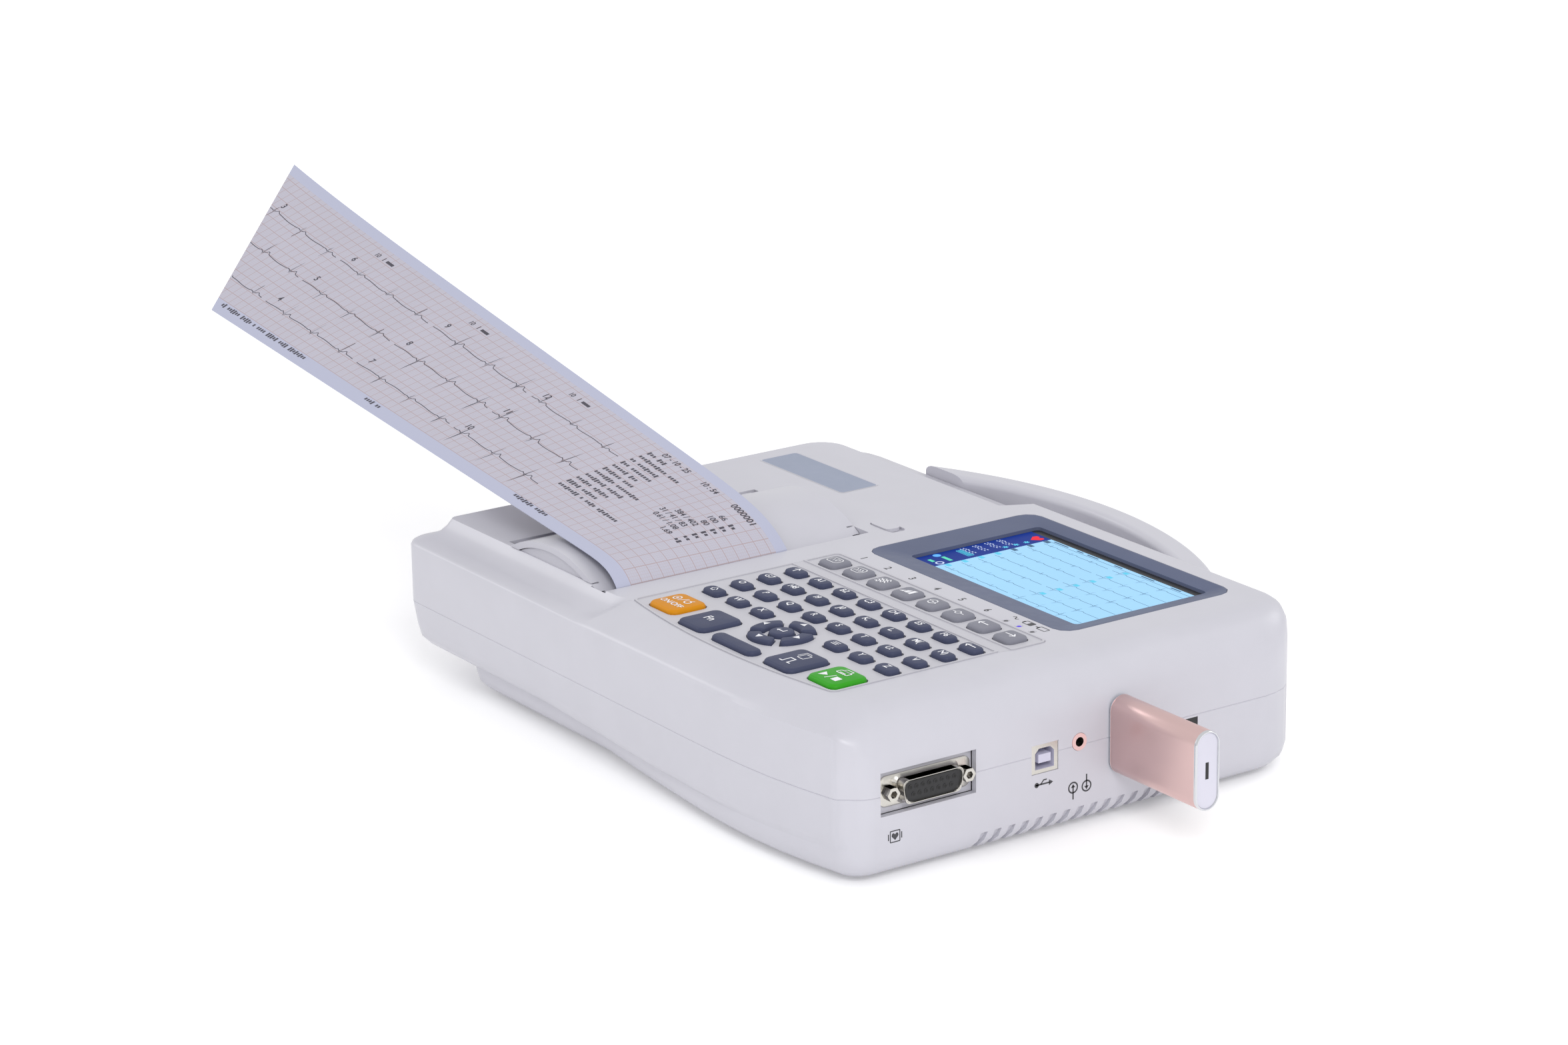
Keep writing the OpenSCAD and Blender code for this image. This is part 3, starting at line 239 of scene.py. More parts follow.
PAPER = finish("roll_paper", (0.78, 0.77, 0.80), 0.75, wander=0.02, grain=(3000, 0.15))
PRINT_INK = finish("print_ink", (0.06, 0.055, 0.075), 0.7, wander=0.15)
ROSE = finish("rose_metal", (0.66, 0.47, 0.46), 0.36, metal=0.8, wander=0.03, grain=(4000, 0.08),
              stretch=(0.15, 1, 1))
SOCKET = finish("socket_pale", (0.55, 0.54, 0.66), 0.4, wander=0.03)
PINK = finish("jack_ring", (0.72, 0.48, 0.47), 0.45, wander=0.03)
STICK_WHITE = finish("stick_end", (0.60, 0.59, 0.68), 0.4, wander=0.02)
LAMP_ON = glow("lamp_lit", (0.07, 0.03, 0.62), 1.0)
# the screen's looks, in the order of their places in SCREEN_LOOKS
S_LIGHT, S_BLUE, S_INK, S_BLACK, S_CYAN, S_RED, S_WHITE, S_TEAL, S_GREEN, S_SKY = range(10)
SCREEN_LOOKS = [glow("screen_" + name, colour, strength) for name, colour, strength in (
    ("light", (0.36, 0.66, 0.94), 0.78), ("blue", (0.006, 0.03, 0.24), 0.85),
    ("ink", (0.06, 0.13, 0.22), 0.9), ("cyan", (0.10, 0.52, 0.72), 0.95),
    ("red", (0.75, 0.02, 0.04), 0.95), ("white", (0.55, 0.65, 0.85), 0.9),
    ("teal", (0.04, 0.33, 0.50), 0.95), ("green", (0.10, 0.62, 0.42), 0.95),
    ("sky", (0.12, 0.42, 0.95), 0.95))]
SCREEN_LOOKS.insert(S_BLACK, BLACK)

# the printed grid, in millimetres across the strip: its shift, its range and the tint of the margins
GRID_SHIFT, GRID_FROM, GRID_TO, MARGIN = 3.4, 9.85, 77.15, (0.44, 0.455, 0.58)
# pitch, line width, weight and tint of the fine and the coarse lines
GRID_LINES = ((1.0, 0.16, 0.2, (0.40, 0.27, 0.24)), (5.0, 0.34, 0.5, (0.36, 0.22, 0.19)))


def chart_paper():
    """Chart paper: a fine and a coarse printed grid between bare margins, in millimetres of its UV."""
    mat = finish("chart_paper", (0.475, 0.466, 0.545), 0.72, wander=0.015, grain=(2500, 0.12), patch=40,
                 Specular_IOR_Level=0.3)
    out = mat.node_tree.nodes["Principled BSDF"]
    add, link = mat.node_tree.nodes.new, mat.node_tree.links.new
    fibre = out.inputs["Base Color"].links[0].from_socket
    at, parts = add("ShaderNodeUVMap"), add("ShaderNodeSeparateXYZ")
    at.uv_map = "print"
    link(at.outputs["UV"], parts.inputs["Vector"])

    def math_node(kind, first, second=None):
        n = add("ShaderNodeMath")
        n.operation = kind
        for socket, value in zip(n.inputs, (first, second)):
            if isinstance(value, (int, float)):
                socket.default_value = value
            elif value is not None:
                link(value, socket)
        return n.outputs["Value"]

    def lines(along, pitch, width):
        saw = math_node("FRACT", math_node("DIVIDE", along, pitch))
        far = math_node("ABSOLUTE", math_node("SUBTRACT", saw, 0.5))
        return math_node("GREATER_THAN", far, 0.5 - width / 2 / pitch)

    def mixed(weight, first, second):
        n = add("ShaderNodeMix")
        n.data_type = "RGBA"
        link(weight, n.inputs["Factor"])
        for socket, value in ((n.inputs["A"], first), (n.inputs["B"], second)):
            if isinstance(value, tuple):
                socket.default_value = (*value, 1)
            else:
                link(value, socket)
        return n.outputs["Result"]

    u, v = parts.outputs["X"], math_node("ADD", parts.outputs["Y"], GRID_SHIFT)
    inside = math_node("MULTIPLY", math_node("GREATER_THAN", v, GRID_FROM),
                       math_node("LESS_THAN", v, GRID_TO))
    colour = mixed(inside, MARGIN, fibre)
    for pitch, width, weight, tint in GRID_LINES:
        grid = math_node("MAXIMUM", lines(u, pitch, width), lines(v, pitch, width))
        colour = mixed(math_node("MULTIPLY", math_node("MULTIPLY", grid, inside), weight), colour, tint)
    link(colour, out.inputs["Base Color"])
    return mat


STRIP_PAPER = chart_paper()

make_camera()
make_studio()

# looks of the CAD pieces that are shown as they are or shaded smooth further down
CAD_FINISH = {
    "carry_handle": BODY, "keypad_panel": PANEL, "lcd_bezel": BEZEL, "lcd_module": BLACK,
    "keypad_mat": RUBBER, "main_board": BOARD, "battery_pack": CELL, "battery_door": BODY,
    "printer_chassis": GREY, "drive_motor": NICKEL, "print_head": BLACK, "door_hinge_pin": NICKEL,
    "label_inlay": LABEL, "rubber_feet": RUBBER, "case_screws": NICKEL, "ac_inlet": BLACK,
    "ground_terminal": NICKEL, "printer_door": BODY, "platen_roller": RUBBER, "idler_gear": IVORY,
    "motor_pinion": IVORY, "paper_roll": PAPER, "door_latch": BODY,
}
# the others, such as keys and sockets, are replaced or painted
for node, shown in frame["nodes"].items():
    shown.data.materials.clear()
    shown.data.materials.append(CAD_FINISH.get(node, SLATE))


# ---- meshes ----
def piece(name, points, faces, looks, body, picks=None, sharp=35):
    """A mesh from points in millimetres, smooth below the sharp angle, riding a CAD body."""
    me = bpy.data.meshes.new(name)
    me.from_pydata([(p[0] * MM, p[1] * MM, p[2] * MM) for p in points], [], faces)
    for look in looks:
        me.materials.append(look)
    if picks:
        me.polygons.foreach_set("material_index", picks)
    me.shade_smooth()
    me.set_sharp_from_angle(angle=math.radians(sharp))
    made = add_object(name, me)
    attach(made, body)
    return made


class Solid:
    """Points and faces of one piece, gathered from several parts."""

    def __init__(self):
        self.points, self.faces, self.picks = [], [], []

    def rings(self, rings, pick=0, caps=(True, True), picks=None):
        """Skin through rings of equally many points; picks gives each band its own material."""
        base, n = len(self.points), len(rings[0])
        picks = picks or [pick] * (len(rings) - 1)
        for ring in rings:
            self.points.extend(ring)
        for b, band in enumerate(picks):
            for i in range(n):
                p, q = base + b * n + i, base + b * n + (i + 1) % n
                self.faces.append((p, q, q + n, p + n))
                self.picks.append(band)
        if caps[0]:
            self.faces.append(tuple(base + i for i in reversed(range(n))))
            self.picks.append(picks[0])
        if caps[1]:
            self.faces.append(tuple(base + (len(rings) - 1) * n + i for i in range(n)))
            self.picks.append(picks[-1])

    def flat(self, shape, place, pick=0):
        """A flat shape, given as 2D points and faces, put in place by a function of x and y."""
        base = len(self.points)
        self.points.extend(place(p[0], p[1]) for p in shape[0])
        for face in shape[1]:
            self.faces.append(tuple(base + i for i in face))
            self.picks.append(pick)

    def build(self, name, looks, body, sharp=35):
        return piece(name, self.points, self.faces, looks, body, self.picks, sharp)


def rounded(w, d, r, n=6):
    r = max(0.15, min(r, w / 2 - 0.01, d / 2 - 0.01))
    return [Vector((sx * (w / 2 - r), sy * (d / 2 - r))) + r * polar(math.pi / 2 * (q + i / n))
            for q, (sx, sy) in enumerate(((1, 1), (-1, 1), (-1, -1), (1, -1))) for i in range(n + 1)]


def denser(points, step):
    out = []
    for a, b in zip(points, points[1:] + points[:1]):
        n = max(1, int((b - a).length / step))
        out.extend(a.lerp(b, i / n) for i in range(n))
    return out


# ---- flat shapes for printed marks: lists of points and faces ----
def text(body, size):
    """A line of the default font, centred, as a flat shape."""
    curve = bpy.data.curves.new("letters", "FONT")
    curve.body, curve.align_x, curve.align_y = body, "CENTER", "CENTER"
    curve.resolution_u, curve.offset = 3, 0.018
    held = add_object("letters", curve)
    bpy.context.view_layer.update()
    me = bpy.data.meshes.new_from_object(held.evaluated_get(bpy.context.evaluated_depsgraph_get()))
    mark = [v.co.xy * size for v in me.vertices], [tuple(p.vertices) for p in me.polygons]
    bpy.data.objects.remove(held)
    bpy.data.meshes.remove(me)
    bpy.data.curves.remove(curve)
    return mark


def line(points, width, closed=False):
    """A stroke of constant width with mitred joints."""
    points = [Vector(p) for p in points]
    n, out = len(points), []
    for i, p in enumerate(points):
        before = points[i - 1] if i or closed else p
        after = points[(i + 1) % n] if i < n - 1 or closed else p
        a, b = (p - before).normalized(), (after - p).normalized()
        along = (a + b).normalized() if (a + b).length > 0.01 else b
        across = Vector((-along.y, along.x))
        reach = min(1.6, 1 / max(0.3, abs(across.dot(Vector((-b.y, b.x)) if b.length else across))))
        out += [p + across * reach * width / 2, p - across * reach * width / 2]
    last = n if closed else n - 1
    return out, [(2 * i, 2 * i + 1, (2 * i + 3) % (2 * n), (2 * i + 2) % (2 * n)) for i in range(last)]


def block(w, d):
    return [Vector((x * w / 2, y * d / 2)) for x, y in ((1, 1), (-1, 1), (-1, -1), (1, -1))], [(0, 1, 2, 3)]


def outline(w, d, r, width):
    return line(rounded(w, d, r, 3), width, True)


def ring(r, width, start=0.0, turn=360.0):
    pts = [r * polar(math.radians(start + turn * i / 20)) for i in range(20 + (turn < 360))]
    return line(pts, width, turn >= 360)


def circle(r, n=20):
    return [r * polar(2 * math.pi * i / n) for i in range(n)]


def disc(r):
    return shape(*circle(r))


def shape(*points):
    return [Vector(p) for p in points], [tuple(range(len(points)))]


def moved(mark, x, y, turn=0.0, size=1.0):
    c, s = math.cos(math.radians(turn)) * size, math.sin(math.radians(turn)) * size
    return [Vector((x + c * p.x - s * p.y, y + s * p.x + c * p.y)) for p in mark[0]], mark[1]


def bar(w, d, x, y, turn=0.0):
    return moved(block(w, d), x, y, turn)


def arrow(length, width):
    """An arrow whose shaft is split, so that it can follow a curved top."""
    h = length / 2
    return [line([(mix(-h, h - 0.4, i / 5), 0) for i in range(6)], width),
            line([(h - 1.5, 1.4), (h, 0), (h - 1.5, -1.4)], width)]


# ---- smooth shading of the faceted solids ----
SMOOTH_ANGLE, FLAT_Z, SOFT_DOT = 38, 0.82, 0.64


def smooth_copy(node, look, reference=None):
    """A copy of a CAD node whose corner normals follow the curved form the facets stand for."""
    cad = frame["nodes"][node]
    bm = bmesh.new()
    bm.from_mesh(cad.data)
    bmesh.ops.remove_doubles(bm, verts=bm.verts, dist=2e-6)
    bmesh.ops.dissolve_degenerate(bm, edges=bm.edges, dist=1e-7)
    me = bpy.data.meshes.new("skin_" + node)
    bm.to_mesh(me)
    bm.free()
    me.materials.append(look)
    me.shade_smooth()
    around = [[] for _ in me.vertices]
    for face in me.polygons:
        for v in face.vertices:
            around[v].append((face.normal.copy(), face.area))
    limit, normals = math.cos(math.radians(SMOOTH_ANGLE)), []
    for face in me.polygons:
        n = face.normal
        for v in face.vertices:
            found = reference(me.vertices[v].co, n) if reference else None
            if found is None:
                found = Vector((0, 0, 0))
                for m, area in around[v]:
                    if m.dot(n) > limit:
                        found += m * area
                found = found.normalized() if found.length > 0 else n
            normals.append(found)
    me.normals_split_custom_set(normals)
    made = add_object("skin_" + node, me)
    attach(made, cad["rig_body"])
    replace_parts(made, node)


def loft_reference(rings, creases):
    """Smooth normals of the loft that a shell was cut from, as a function of point and facet normal."""
    n, m = len(rings[0]), len(rings)
    points = [Vector(p) * MM for r in rings for p in r]
    tris = []
    for b in range(m - 1):
        for i in range(n):
            p, q = b * n + i, b * n + (i + 1) % n
            tris += ([(p, q + n, p + n), (p, q, q + n)] if i < n / 2 else
                     [(q, p + n, p), (q, q + n, p + n)])
    across = [(points[c] - points[a]).cross(points[b] - points[a]) for a, b, c in tris]
    middle = sum(points, Vector()) / len(points)
    if sum(a.dot(points[t[0]] - middle) for a, t in zip(across, tris)) < 0:
        across = [-a for a in across]
    under = [Vector((0, 0, -1e-9)) if k < n else Vector() for k in range(n * m)]
    over = [Vector((0, 0, 1e-9)) if k >= n * (m - 1) else Vector() for k in range(n * m)]
    for t, a in zip(tris, across):
        low = min(k // n for k in t)
        for k in t:
            (over if k // n == low else under)[k] += a
    below, above = [v.normalized() for v in under], [v.normalized() for v in over]
    for k in range(n * m):
        j = k // n
        if j == 0 and above[k].z < -FLAT_Z:
            below[k] = above[k] = Vector((0, 0, -1))
        elif j == m - 1 and below[k].z > FLAT_Z:
            below[k] = above[k] = Vector((0, 0, 1))
        elif j not in creases and 0 < j < m - 1 and below[k].dot(above[k]) > SOFT_DOT:
            below[k] = above[k] = (under[k].normalized() + over[k].normalized()).normalized()
    faces = [a.normalized() for a in across]
    tree = BVHTree.FromPolygons(points, tris, epsilon=0.0)

    def normal_at(place, facet):
        best = None
        for hit, _, index, far in tree.find_nearest_range(place, 4e-5):
            match = faces[index].dot(facet)
            if match > 0.9995 and (best is None or match - far * 1000 > best[0]):
                best = (match - far * 1000, index, hit)
        if best is None:
            return None
        t = tris[best[1]]
        low = min(k // n for k in t)
        a, b, c = (points[k] for k in t)
        na, nb, nc = ((above if k // n == low else below)[k] for k in t)
        out = barycentric_transform(best[2], a, b, c, na, nb, nc)
        return out.normalized() if out.length > 0.1 else None

    return normal_at


# ---- the case's form: the same stations and rings as the solids ----
HALF_W, FRONT_D, BACK_D, CASE_H, SEAM_H = 149.3, 108.2, 113.0, 62.3, 31.6
FRONT_R, BACK_R, SIDE_ROUND, FRONT_LEDGE, BACK_LEDGE, LEFT_LEDGE = 10.0, 22.0, 20.0, 19.7, 15.7, 4.6
PLINTH_H, PLINTH_LEFT, PLINTH_GAP, PLINTH_R, BODY_R = 11.5, 32.3, 9.8, 9.0, 10.0
SPLIT_X, BOW_X, BOW_R, PAD, GROOVE, ARC_N = -20.0, 60.0, 380.0, 1.4, 0.25, 6
BORDER_Y, BORDER_BOW, BORDER_MID, BORDER_HALF = -86.5, 6.0, 54.0, 66.0
LEDGE_U = (0, 0.03, 0.10, 0.45, 0.68, 0.86, 1)
LEDGE_DROP = (7.3, 6.5, 6.1, 5.7, 4.7, 2.7, 0)
SOFT_U = (0, 0.04, 0.12, 0.40, 0.70, 0.90, 1)
SOFT_DROP = (7.8, 6.5, 5.7, 3.0, 0.8, 0.1, 0)


def bow(x):
    return (x - BOW_X) ** 2 / (2 * BOW_R) if x > BOW_X else 0.0


def border_front(x):
    swell = BORDER_BOW * max(0.0, 1 - ((x - BORDER_MID) / BORDER_HALF) ** 2)
    return mix(FRONT_LEDGE - FRONT_D, BORDER_Y - swell, smooth((x - SPLIT_X) / 9))


def set_back(x):
    return PLINTH_GAP * (1 - min(1.0, max(0.0, (x - SPLIT_X) / 140))) ** 1.6


def stations():
    """Wall, border and plinth points, normal, ledge and round weights, edge radius, corner vector."""
    out = []

    def corner(a, wall, wall_r, border, border_r, plinth, ledge, rounding, edge, tip, dip=False):
        n = polar(math.radians(a))
        w = Vector(wall) + wall_r * n
        if dip:
            w.y += bow(w.x)
        foot = Vector(plinth) + PLINTH_R * n if plinth else w
        out.append((w, Vector(border) + border_r * n, foot, n, ledge, rounding, edge, Vector(tip)))

    for i in range(ARC_N + 1):
        corner(180 + 15 * i, (FRONT_R - HALF_W, FRONT_R - FRONT_D), FRONT_R,
               (3 + LEFT_LEDGE - HALF_W, 3 + FRONT_LEDGE - FRONT_D), 3,
               (PLINTH_LEFT + PLINTH_R - HALF_W, PLINTH_GAP + PLINTH_R - FRONT_D),
               1, 0, SIDE_ROUND, (-1, -1))
    plinth_k = (HALF_W - PLINTH_LEFT - PLINTH_R + SPLIT_X) / (HALF_W - FRONT_R + SPLIT_X)
    border_k = (HALF_W - SIDE_ROUND - 6) / (HALF_W - FRONT_R)

    def plinth_x(x):
        return SPLIT_X + (x - SPLIT_X) * plinth_k if x < SPLIT_X else x

    for x in (-90, -50, SPLIT_X - 6, SPLIT_X + 1, SPLIT_X + 5, SPLIT_X + 9, 0, 12, 32, BOW_X,
              76, 92, 108, 124):
        b = x if x < 0 else x * border_k
        out.append((Vector((x, bow(x) - FRONT_D)), Vector((b, border_front(b))),
                    Vector((plinth_x(x), bow(x) + set_back(x) - FRONT_D)), Vector((0, -1)),
                    1 - smooth((x - SPLIT_X) / 10), 0, SIDE_ROUND, Vector((0, -1))))
    for i in range(ARC_N + 1):
        corner(270 + 15 * i, (HALF_W - FRONT_R, FRONT_R - FRONT_D), FRONT_R,
               (HALF_W - SIDE_ROUND - 6, BORDER_Y + 6), 6, None, 0, smooth(i / ARC_N), SIDE_ROUND,
               (1, -1), True)
    for i in range(ARC_N + 1):
        corner(15 * i, (HALF_W - BACK_R, BACK_D - BACK_R), BACK_R,
               (HALF_W - SIDE_ROUND - 8, BACK_D - 12), 8, None, 0, 1,
               mix(SIDE_ROUND, 4, smooth(i / ARC_N)), (1, 1))
    for x in (100, 50, 0, SPLIT_X + 2, SPLIT_X - 1, SPLIT_X - 4, -60, -105):
        edge = mix(BACK_D - BACK_LEDGE, BACK_D - 4, smooth((x - SPLIT_X + 4) / 6))
        out.append((Vector((x, BACK_D)), Vector((x, edge)),
                    Vector((plinth_x(x), BACK_D - set_back(x))), Vector((0, 1)),
                    1 - smooth((x - SPLIT_X + 4) / 6), 1, 4, Vector((0, 1))))
    for i in range(ARC_N + 1):
        corner(90 + 15 * i, (BACK_R - HALF_W, BACK_D - BACK_R), BACK_R,
               (12 + LEFT_LEDGE - HALF_W, BACK_D - BACK_LEDGE - 12), 12,
               (PLINTH_LEFT + PLINTH_R - HALF_W, BACK_D - PLINTH_GAP - PLINTH_R),
               1, 0, SIDE_ROUND, (-1, 1))
    return out


STATIONS = stations()


def proud(p):
    return 0.0 if p.y > 0 else PAD * smooth((p.x - BOW_X) / 60) * (1 - smooth((p.x - 142) / 2))


def wall_ring(z, inset):
    return [(s[0] + (proud(s[0]) - inset) * s[3]).to_3d() + Vector((0, 0, z)) for s in STATIONS]


def upper_ring(j):
    out, turn = [], math.radians(15 * j)
    for w, border, _, n, ledge, rounding, edge, _ in STATIONS:
        u = mix(mix(SOFT_U[j], 1 - math.cos(turn), rounding), LEDGE_U[j], ledge)
        d = mix(mix(SOFT_DROP[j], edge * (1 - math.sin(turn)), rounding), LEDGE_DROP[j], ledge)
        p = (w + (proud(w) if j == 0 else 0) * n).lerp(border, u)
        out.append(Vector((p.x, p.y, CASE_H - d)))
    return out


def lower_ring(j):
    out = []
    for w, _, foot, n, _, _, _, tip in STATIONS:
        r = min(BODY_R, 0.82 * (w - foot).length)
        rz = max(4.0, r)
        turn = math.radians((0, 30, 60, 90)[j] if j < 4 else 30 * (j - 5))

        def inwards(p, radius, d):
            return p - min(d, max(0, radius - 1)) * n - max(0, d - max(0, radius - 1)) * tip

        if j < 4:
            p, z = inwards(foot, PLINTH_R, PLINTH_R * (1 - math.sin(turn))), PLINTH_R * (1 - math.cos(turn))
        elif j == 4:
            p, z = foot.copy(), PLINTH_H - 0.3
        elif j < 9:
            p, z = inwards(w, FRONT_R, r * (1.15 - math.sin(turn))), PLINTH_H + rz * (1 - math.cos(turn))
        else:
            p, z = w.copy(), SEAM_H - GROOVE
        p = p + (0.5 if j == 7 else 1.0 if j > 7 else 0.0) * proud(w) * n
        out.append(Vector((p.x, p.y, z)))
    return out


UPPER_FORM = loft_reference([wall_ring(SEAM_H, GROOVE), wall_ring(SEAM_H + GROOVE, 0)]
                            + [upper_ring(j) for j in range(7)], (1,))
LOWER_FORM = loft_reference([lower_ring(j) for j in range(10)] + [wall_ring(SEAM_H, GROOVE)], (9,))

# ---- keys: soft caps with printed legends ----
KEY_TOP, KEY_BASE, CAP_SQUEEZE, MARK_LIFT = 64.2, 59.7, 0.12, 0.07
KEY_X0, KEY_Y0, KEY_PX, KEY_PY = 0.6, -19.1, 16.0, 12.6
FN_X0, FN_PITCH, NAV, NAV_BEND, NAV_MARK = -0.7, 15.95, (56.4, -64.4), 10.0, 10.2
# width, depth and corner radius
LETTER_CAP, GREY_CAP, BIG_CAP = (10.5, 6.5, 2.7), (11.0, 10.4, 2.6), (18, 16.8, 3.6)
GREY_TOP, BIG_TOP, BAR_TOP = (dict(edge=e, crown=c) for e, c in ((1.3, 0.2), (1.5, 0.3), (1.2, 0.15)))


def cell(c, r):
    return KEY_X0 + KEY_PX * c, KEY_Y0 - KEY_PY * r


def cap(solid, w, d, r, at, bend=None, edge=1.15, crown=0.14, turn=0.0):
    """One key cap of width w and depth d about a place; bend gives the radius of a curved key."""
    def to_world(p, z):
        if bend:
            a = p.x / bend
            p = (bend + p.y) * Vector((math.cos(a), -math.sin(a)))
        c, s = math.cos(turn), math.sin(turn)
        return Vector((at[0] + c * p.x - s * p.y, at[1] + s * p.x + c * p.y, z))

    def outline_at(e):
        pts = rounded(w - 2 * e, d - 2 * e, r - e, 7)
        return denser(pts, 1.2) if bend else pts

    rings = [(0.0, KEY_BASE), (0.0, KEY_TOP - edge - 0.95), (CAP_SQUEEZE, KEY_TOP - edge - crown)]
    for i in range(1, 7):
        a = math.pi / 2 * i / 6
        rings.append((CAP_SQUEEZE + edge * (1 - math.cos(a)) * 0.9,
                      KEY_TOP - crown - edge * (1 - math.sin(a))))
    rim_e = rings[-1][0]
    count = len(outline_at(rim_e))
    shown = []
    for e, z in rings:
        pts = outline_at(e)
        if len(pts) != count:
            pts = [Vector((q.x * (w - 2 * e) / (w - 2 * rim_e), q.y * (d - 2 * e) / (d - 2 * rim_e)))
                   for q in outline_at(rim_e)]
        shown.append([to_world(q, z) for q in pts])
    rim = outline_at(rim_e)
    for t in (0.72, 0.42, 0.16):
        shown.append([to_world(q * t, KEY_TOP - crown * t * t) for q in rim])
    solid.rings(shown, caps=(False, True))


def printed_on(solid):
    """A function that lays marks on the top of a piece, following its form."""
    tree = BVHTree.FromPolygons([Vector(p) for p in solid.points], solid.faces)

    def place(x, y):
        hit = tree.ray_cast(Vector((x, y, 100)), Vector((0, 0, -1)))[0]
        return Vector((x, y, (hit.z if hit else KEY_TOP) + MARK_LIFT))

    return place


# simple generic signs for the keys without a letter
SIGNS = {
    "back": arrow(5.4, 0.6),
    "up": arrow(3.5, 0.55),
    "caps": [line([(-1.7, -0.3), (0, 1.5), (1.7, -0.3)], 0.4),
             line([(-0.8, -0.3), (-0.8, -1.4), (0.8, -1.4), (0.8, -0.3)], 0.4)],
    "menu": [bar(3.6, 0.4, 0, y) for y in (-1.0, 0, 1.0)],
    "enter": [line([(1.7, 1.5), (1.7, -0.4), (-1.7, -0.4)], 0.5),
              shape((-2.3, -0.4), (-0.9, 0.6), (-0.9, -1.4))],
    "point": [shape((1.6, 0), (-1.0, 1.5), (-1.0, -1.5))],
    "on_off": [moved(ring(1.7, 0.5), -3.6, -0.3), moved(disc(0.6), -3.6, -0.3),
               line([(-1.1, -2.0), (1.1, 2.0)], 0.5), moved(ring(1.4, 0.5), 3.4, -0.4),
               line([(3.9, 1.0), (4.6, 2.2)], 0.5)],
    "copy": [line([(-3.3, -5.2), (-1.5, -5.2), (-1.5, -1.2), (1.5, -1.2), (1.5, -5.2), (3.3, -5.2)], 0.6),
             moved(outline(3.6, 4.2, 0.4, 0.4), 0.8, 3.2), line([(-2.2, 2.2), (-2.2, 6.4), (1.0, 6.4)], 0.4)],
    "start": [shape((-5.2, -5.0), (-1.8, -3.0), (-5.2, -1.0)), line([(-0.8, -5.2), (0.8, -0.8)], 0.5),
              bar(3.2, 3.2, 3.6, -3.0), moved(outline(6.2, 2.6, 0.4, 0.5), 0, 3.0),
              moved(outline(4.0, 1.8, 0.2, 0.45), 0, 5.1), bar(3.4, 0.5, 0, 2.4)],
    "id": [outline(6.6, 4.6, 1.4, 0.38), line([(-2.1, -1.0), (-1.2, 1.2), (-0.3, -1.0)], 0.36),
           line([(0.3, 0.9), (1.2, -1.0), (2.2, 0.9)], 0.36), bar(2.0, 0.32, 1.2, 1.3)],
    "speed": [outline(6.2, 4.8, 1.5, 0.38)] + [line([(x, -1.3), (x + 1.0, 0), (x, 1.3)], 0.42)
                                               for x in (-1.9, -0.4, 1.1)],
    "filter": [moved(line([(i * 0.28 - 2.8, 0.75 * math.sin(i * 0.9)) for i in range(21)], 0.42), 0, y, 18)
               for y in (-1.5, 0, 1.5)],
    "gain": [shape((-3.4, -1.7), (-0.9, -1.7), (-0.9, 0.1)),
             shape((-0.5, -1.7), (1.3, -1.7), (1.3, 1.6), (-0.5, 0.4)),
             shape((1.7, -1.7), (3.4, -1.7), (3.4, 2.4), (1.7, 1.9))],
    "mode": [ring(1.9, 0.5, 20, 130), ring(1.9, 0.5, 200, 130),
             shape((-2.7, 0.9), (-1.0, 0.9), (-1.9, -0.5)), shape((2.7, -0.9), (1.0, -0.9), (1.9, 0.5)),
             disc(0.5)],
    "reset": [ring(1.25, 0.42), line([(-3.3, 0), (-1.3, 0)], 0.42), line([(1.3, 0), (3.3, 0)], 0.42)],
}


def sign(kind, turn=0.0, y=0.0):
    return [moved(mark, 0, y, turn) for mark in SIGNS[kind]]


def key_piece(name, caps, look, **form):
    """Caps of one body: the place, the width, depth and radius, and the marks of each."""
    solid = Solid()
    for at, size, _ in caps:
        cap(solid, *size, at, **form)
    place = printed_on(solid)
    for at, _, marks in caps:
        for mark in marks:
            solid.flat(moved(mark, *at), place, 1)
    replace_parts(solid.build("cap_" + name, (look, INK), name, 40), name)


def letters(words, row, first=0):
    return [(cell(first + i, row), LETTER_CAP, [text(word, 4.0)]) for i, word in enumerate(words)]


key_piece("keys_a_to_f", letters(("A1", "B2", "C3", "D4", "E5", "F6"), 0, 1), SLATE)
key_piece("keys_g_to_n", letters(("G7", "H8", "I9", "J0", "K,", "L.", "M(", "N)"), 1), SLATE)
key_piece("keys_o_to_v", letters(("O", "P", "Q", "R", "S", "T", "U:", "V"), 2), SLATE)
key_piece("keys_w_to_z", letters(("W", "X"), 3, 1) + letters(("Y", "Z"), 3, 6), SLATE)
for name, spot, kind, turn in (("esc", (0, 0), "up", 90), ("backspace", (7, 0), "back", 180),
                               ("caps", (0, 3), "caps", 0), ("menu", (5, 3), "menu", 0)):
    key_piece("key_" + name, [(cell(*spot), LETTER_CAP, sign(kind, turn))], SLATE)
for name, turn in (("key_right", 0), ("key_up", 90), ("key_left", 180), ("key_down", 270)):
    way = polar(math.radians(turn)) * NAV_MARK
    key_piece(name, [(NAV, (13.2, 6.0, 1.5), [moved(SIGNS["point"][0], way.x, way.y, turn)])], SLATE,
              bend=NAV_BEND, turn=math.radians(turn))
key_piece("key_enter", [(NAV, (10.0, 10.0, 4.99), sign("enter"))], SLATE)
for i, (name, kind, turn) in enumerate((("id", "id", 0), ("speed", "speed", 0), ("filter", "filter", 0),
                                        ("gain", "gain", 0), ("mode", "mode", 0), ("reset", "reset", 0),
                                        ("page_back", "back", 180), ("page_on", "back", 0))):
    key_piece("key_" + name, [((FN_X0 + FN_PITCH * i, 0), GREY_CAP, sign(kind, turn))], GREY, **GREY_TOP)
